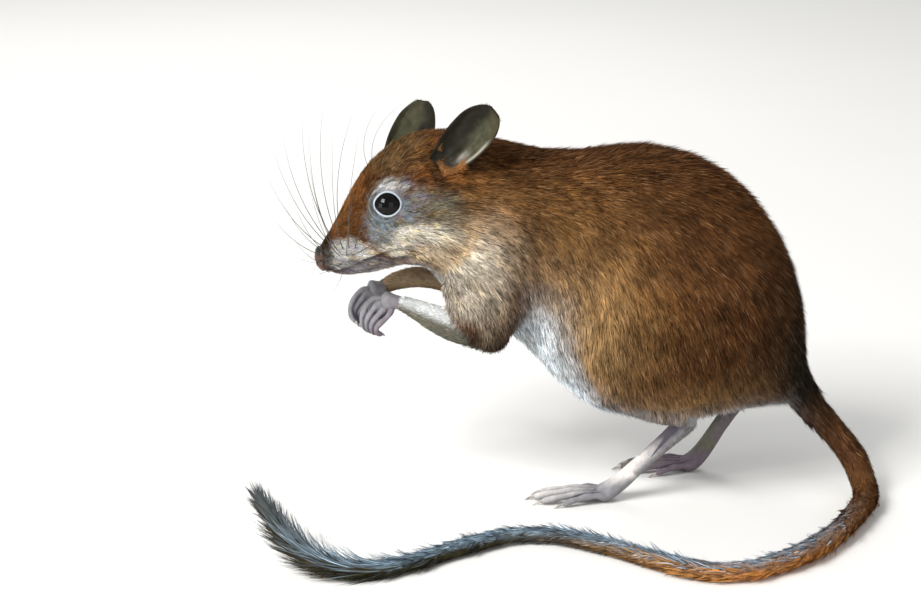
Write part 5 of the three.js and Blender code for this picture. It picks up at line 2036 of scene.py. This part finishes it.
@dataclass(frozen=True)
class EyePair:
    """Both eyeballs with the lids round them."""

    rim: float = 0.2
    rim_colour: tuple[int, int, int] = (172, 182, 190)
    roll: tuple[float, ...] = (210.0, 170.0, 130.0, 90.0, 50.0, 10.0)
    reach: float = 5.2
    overlap: float = 0.8
    spokes: int = 72
    steps: int = 10
    hair_density: float = 60.0
    hair_length: float = 0.75
    hair_growth: float = 0.13
    search: float = 8.0

    def build(self, skin: bpy.types.Object, planner: Planner) -> None:
        """Makes the balls, the lids and the lids' fine coat."""
        for name, side in SIDES.items():
            self._ball(name, side)
            self._lids(name, side, skin, planner)

    def _ball(self, name: str, side: int) -> None:
        """One eyeball, a little fuller at the front."""
        deselect()
        bpy.ops.mesh.primitive_uv_sphere_add(segments=48, ring_count=32, radius=EYES.radius * MM)
        ball = bpy.context.active_object
        ball.name = ball.data.name = f"eyeball_{name}"
        points = read_points(ball.data)
        front = unit(points) @ EYES.way(side)
        points = points * (0.985 + 0.05 * smoothstep(front, 0.3, 1.0))[:, None]
        write_points(ball.data, points + metres(EYES.at(side)))
        dress(ball, EYE_FINISH)
        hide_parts(f"eye_{name}")
        log.info("eyeball_%s", name)

    def _lids(self, name: str, side: int, skin: bpy.types.Object, planner: Planner) -> None:
        """The lids: a pale rolled margin on the ball, and a slope from it into the head's skin."""
        centre, look = EYES.at(side), EYES.way(side)
        back = unit(np.cross(UP, look)) * -side
        over = unit(np.cross(look, back)) * -side
        tree = BVHTree.FromObject(skin, bpy.context.evaluated_depsgraph_get())
        spokes = []
        for angle in np.linspace(0.0, 2 * math.pi, self.spokes, endpoint=False):
            away = back * math.cos(angle) + over * math.sin(angle)
            reach = EYES.opening + 0.35 * abs(math.cos(angle)) ** 6
            height = math.sqrt(EYES.radius**2 - reach**2)
            turn = np.radians(self.roll)
            rolled = np.stack([np.cos(turn), np.sin(turn)], axis=1) * self.rim
            roll = rolled + [reach + 0.2, height]
            foot = self._height(tree, centre, look, away, self.reach, 0.5)
            past = self._height(tree, centre, look, away, self.reach + self.overlap, foot - 0.3)
            brow = 0.2 * max(math.sin(angle), 0.0)
            start = roll[-1] + [0.1, -0.08]
            slope = [
                [*start, 0.0],
                [reach + 1.0, (start[1] + foot) / 2 + 0.2 + brow, 0.0],
                [self.reach, foot + 0.06, 0.0],
                [self.reach + self.overlap, past - 0.4, 0.0],
            ]
            rows = follow(np.array(slope), self.steps)[:, :2]
            plane = np.vstack([roll, rows])
            spokes.append(centre + away * plane[:, :1] + look * plane[:, 1:])
        points = np.stack(spokes)
        count, rings = points.shape[:2]
        row = np.arange(count)[:, None] * rings
        after = np.roll(row, -1, axis=0)
        here = np.arange(rings - 1)
        quads = np.stack([row + here, row + here + 1, after + here + 1, after + here], axis=-1)
        quads = quads if side == LEFT else quads[..., ::-1]
        lid = build_mesh(f"eyelid_{name}", metres(points.reshape(-1, 3)), [quads.reshape(-1, 4)])
        ring = np.tile(np.arange(rings), count)
        places = points.reshape(-1, 3)
        straight, turned = TURN.undo(places)
        lie, _ = planner.comb(straight)
        colour = marked(straight, np.full(len(places), "head"))
        bare = ring < len(self.roll)
        margin = linear(self.rim_colour) * np.where(ring < 1, 0.3, 1.0)[:, None]
        # The lid's slope under its fine coat is painted darker, as shade beneath the hair.
        paint(lid, "coat", np.where(bare[:, None], margin, colour * 0.6))
        length = np.where(bare, 0.0, self.hair_length + self.hair_growth * (ring - len(self.roll) + 1))
        out = unit(places - centre - look * ((places - centre) @ look)[:, None])
        lie = unit(TURN.direction(lie, turned) * 0.7 + out * (1.0 - 0.5 * ring / rings)[:, None])
        plan = CoatPlan(ring * 0, straight, lie, length, colour, length * 0.0)
        unwrap(lid)
        dress(lid, LID_FINISH)
        groomer = Groomer(lid, plan, ["lid"])
        hairy = length[groomer.corners[:, 0]] > 0.2
        tufts = groomer.sow(hairy, np.full(len(hairy), self.hair_density))
        coat = groomer.mesh(f"coat_eyelid_{name}", groomer.style(tufts, FACE_LOOK), FACE_LOOK)
        log.info("eyelid_%s", name)

    def _height(
        self, tree: BVHTree, centre: Array, look: Array, away: Array, reach: float, spare: float
    ) -> float:
        """How far before the eye's middle the skin lies, at some distance aside."""
        start = centre + away * reach + look * self.search
        hit = tree.ray_cast(Vector(metres(start)), Vector(-look), 14.0 * MM)
        return self.search - hit[3] / MM if hit[0] else spare


# Floor, light and camera


@dataclass(frozen=True)
class Studio:
    """A plain pale floor, soft light and the camera at the picture's own angle."""

    target: Point = (0.0, 0.0, 49.15)
    distance: float = 700.0
    elevation: float = math.radians(16.0)
    focal_pixels: float = 2800.0
    image_width: float = 921.0
    sensor_width: float = 36.0
    floor_size: float = 8.0
    clip: tuple[float, float] = (0.05, 20.0)
    surround: Point = (0.95, 0.97, 1.0)
    surround_strength: float = 0.5

    def build(self) -> None:
        """Makes the floor, the lights and the camera."""
        self._floor()
        self._lights()
        self._camera()

    def _floor(self) -> None:
        """A wide floor at the level of the soles."""
        deselect()
        bpy.ops.mesh.primitive_plane_add(size=self.floor_size)
        floor = bpy.context.active_object
        floor.name = "floor"
        floor.data.materials.append(FLOOR_FINISH.build())

    def _lights(self) -> None:
        """Soft lights from above, beside, before and behind, and a pale surround."""
        world = bpy.data.worlds.new("surround")
        world.use_nodes = True
        background = world.node_tree.nodes["Background"]
        background.inputs["Color"].default_value = (*self.surround, 1.0)
        background.inputs["Strength"].default_value = self.surround_strength
        bpy.context.scene.world = world
        for name, at, size, power in (
            ("key", (-440.0, -500.0, 660.0), 380.0, 8.6),
            ("catch", (-330.0, -640.0, 560.0), 70.0, 0.9),
            ("low", (-560.0, -460.0, 120.0), 360.0, 1.6),
            ("fill", (420.0, -700.0, 260.0), 520.0, 1.0),
            ("back", (-160.0, 640.0, 520.0), 420.0, 1.8),
        ):
            data = bpy.data.lights.new(name, "AREA")
            data.size = size * MM
            data.energy = power
            self._aim(name, data, np.array(at))

    def _camera(self) -> None:
        """The camera, level with the picture's view."""
        data = bpy.data.cameras.new("camera")
        data.sensor_width = self.sensor_width
        data.lens = self.sensor_width * self.focal_pixels / self.image_width
        data.clip_start, data.clip_end = self.clip
        back = np.array([0.0, -math.cos(self.elevation), math.sin(self.elevation)])
        camera = self._aim("camera", data, np.array(self.target) + back * self.distance)
        bpy.context.scene.camera = camera

    def _aim(self, name: str, data: bpy.types.Light | bpy.types.Camera, at: Array) -> bpy.types.Object:
        """Sets a light or the camera at a place, turned towards the target."""
        item = bpy.data.objects.new(name, data)
        bpy.context.scene.collection.objects.link(item)
        item.location = Vector(metres(at))
        aim = Vector(metres(self.target)) - item.location
        item.rotation_euler = aim.to_track_quat("-Z", "Y").to_euler()
        return item


def main() -> None:
    """Builds the gerbil piece by piece, and its studio."""
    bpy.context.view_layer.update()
    planner = Planner()
    caster = Skin()
    skin, plan = caster.build(planner)
    groomer = Groomer(skin, plan, planner.parts)
    Coat().build(groomer)
    EyePair().build(skin, planner)
    EarPair().build()
    Nose().build(caster)
    Whiskers().build()
    Brush().build()
    for kind, paws in (("hand", HANDS), ("foot", FEET)):
        for name, paw in paws.items():
            paw.shape(Form()).claws(f"claws_{kind}_{name}")
    Studio().build()
    bpy.context.scene.view_settings.view_transform = "Standard"


if __name__ == "__main__":
    main()
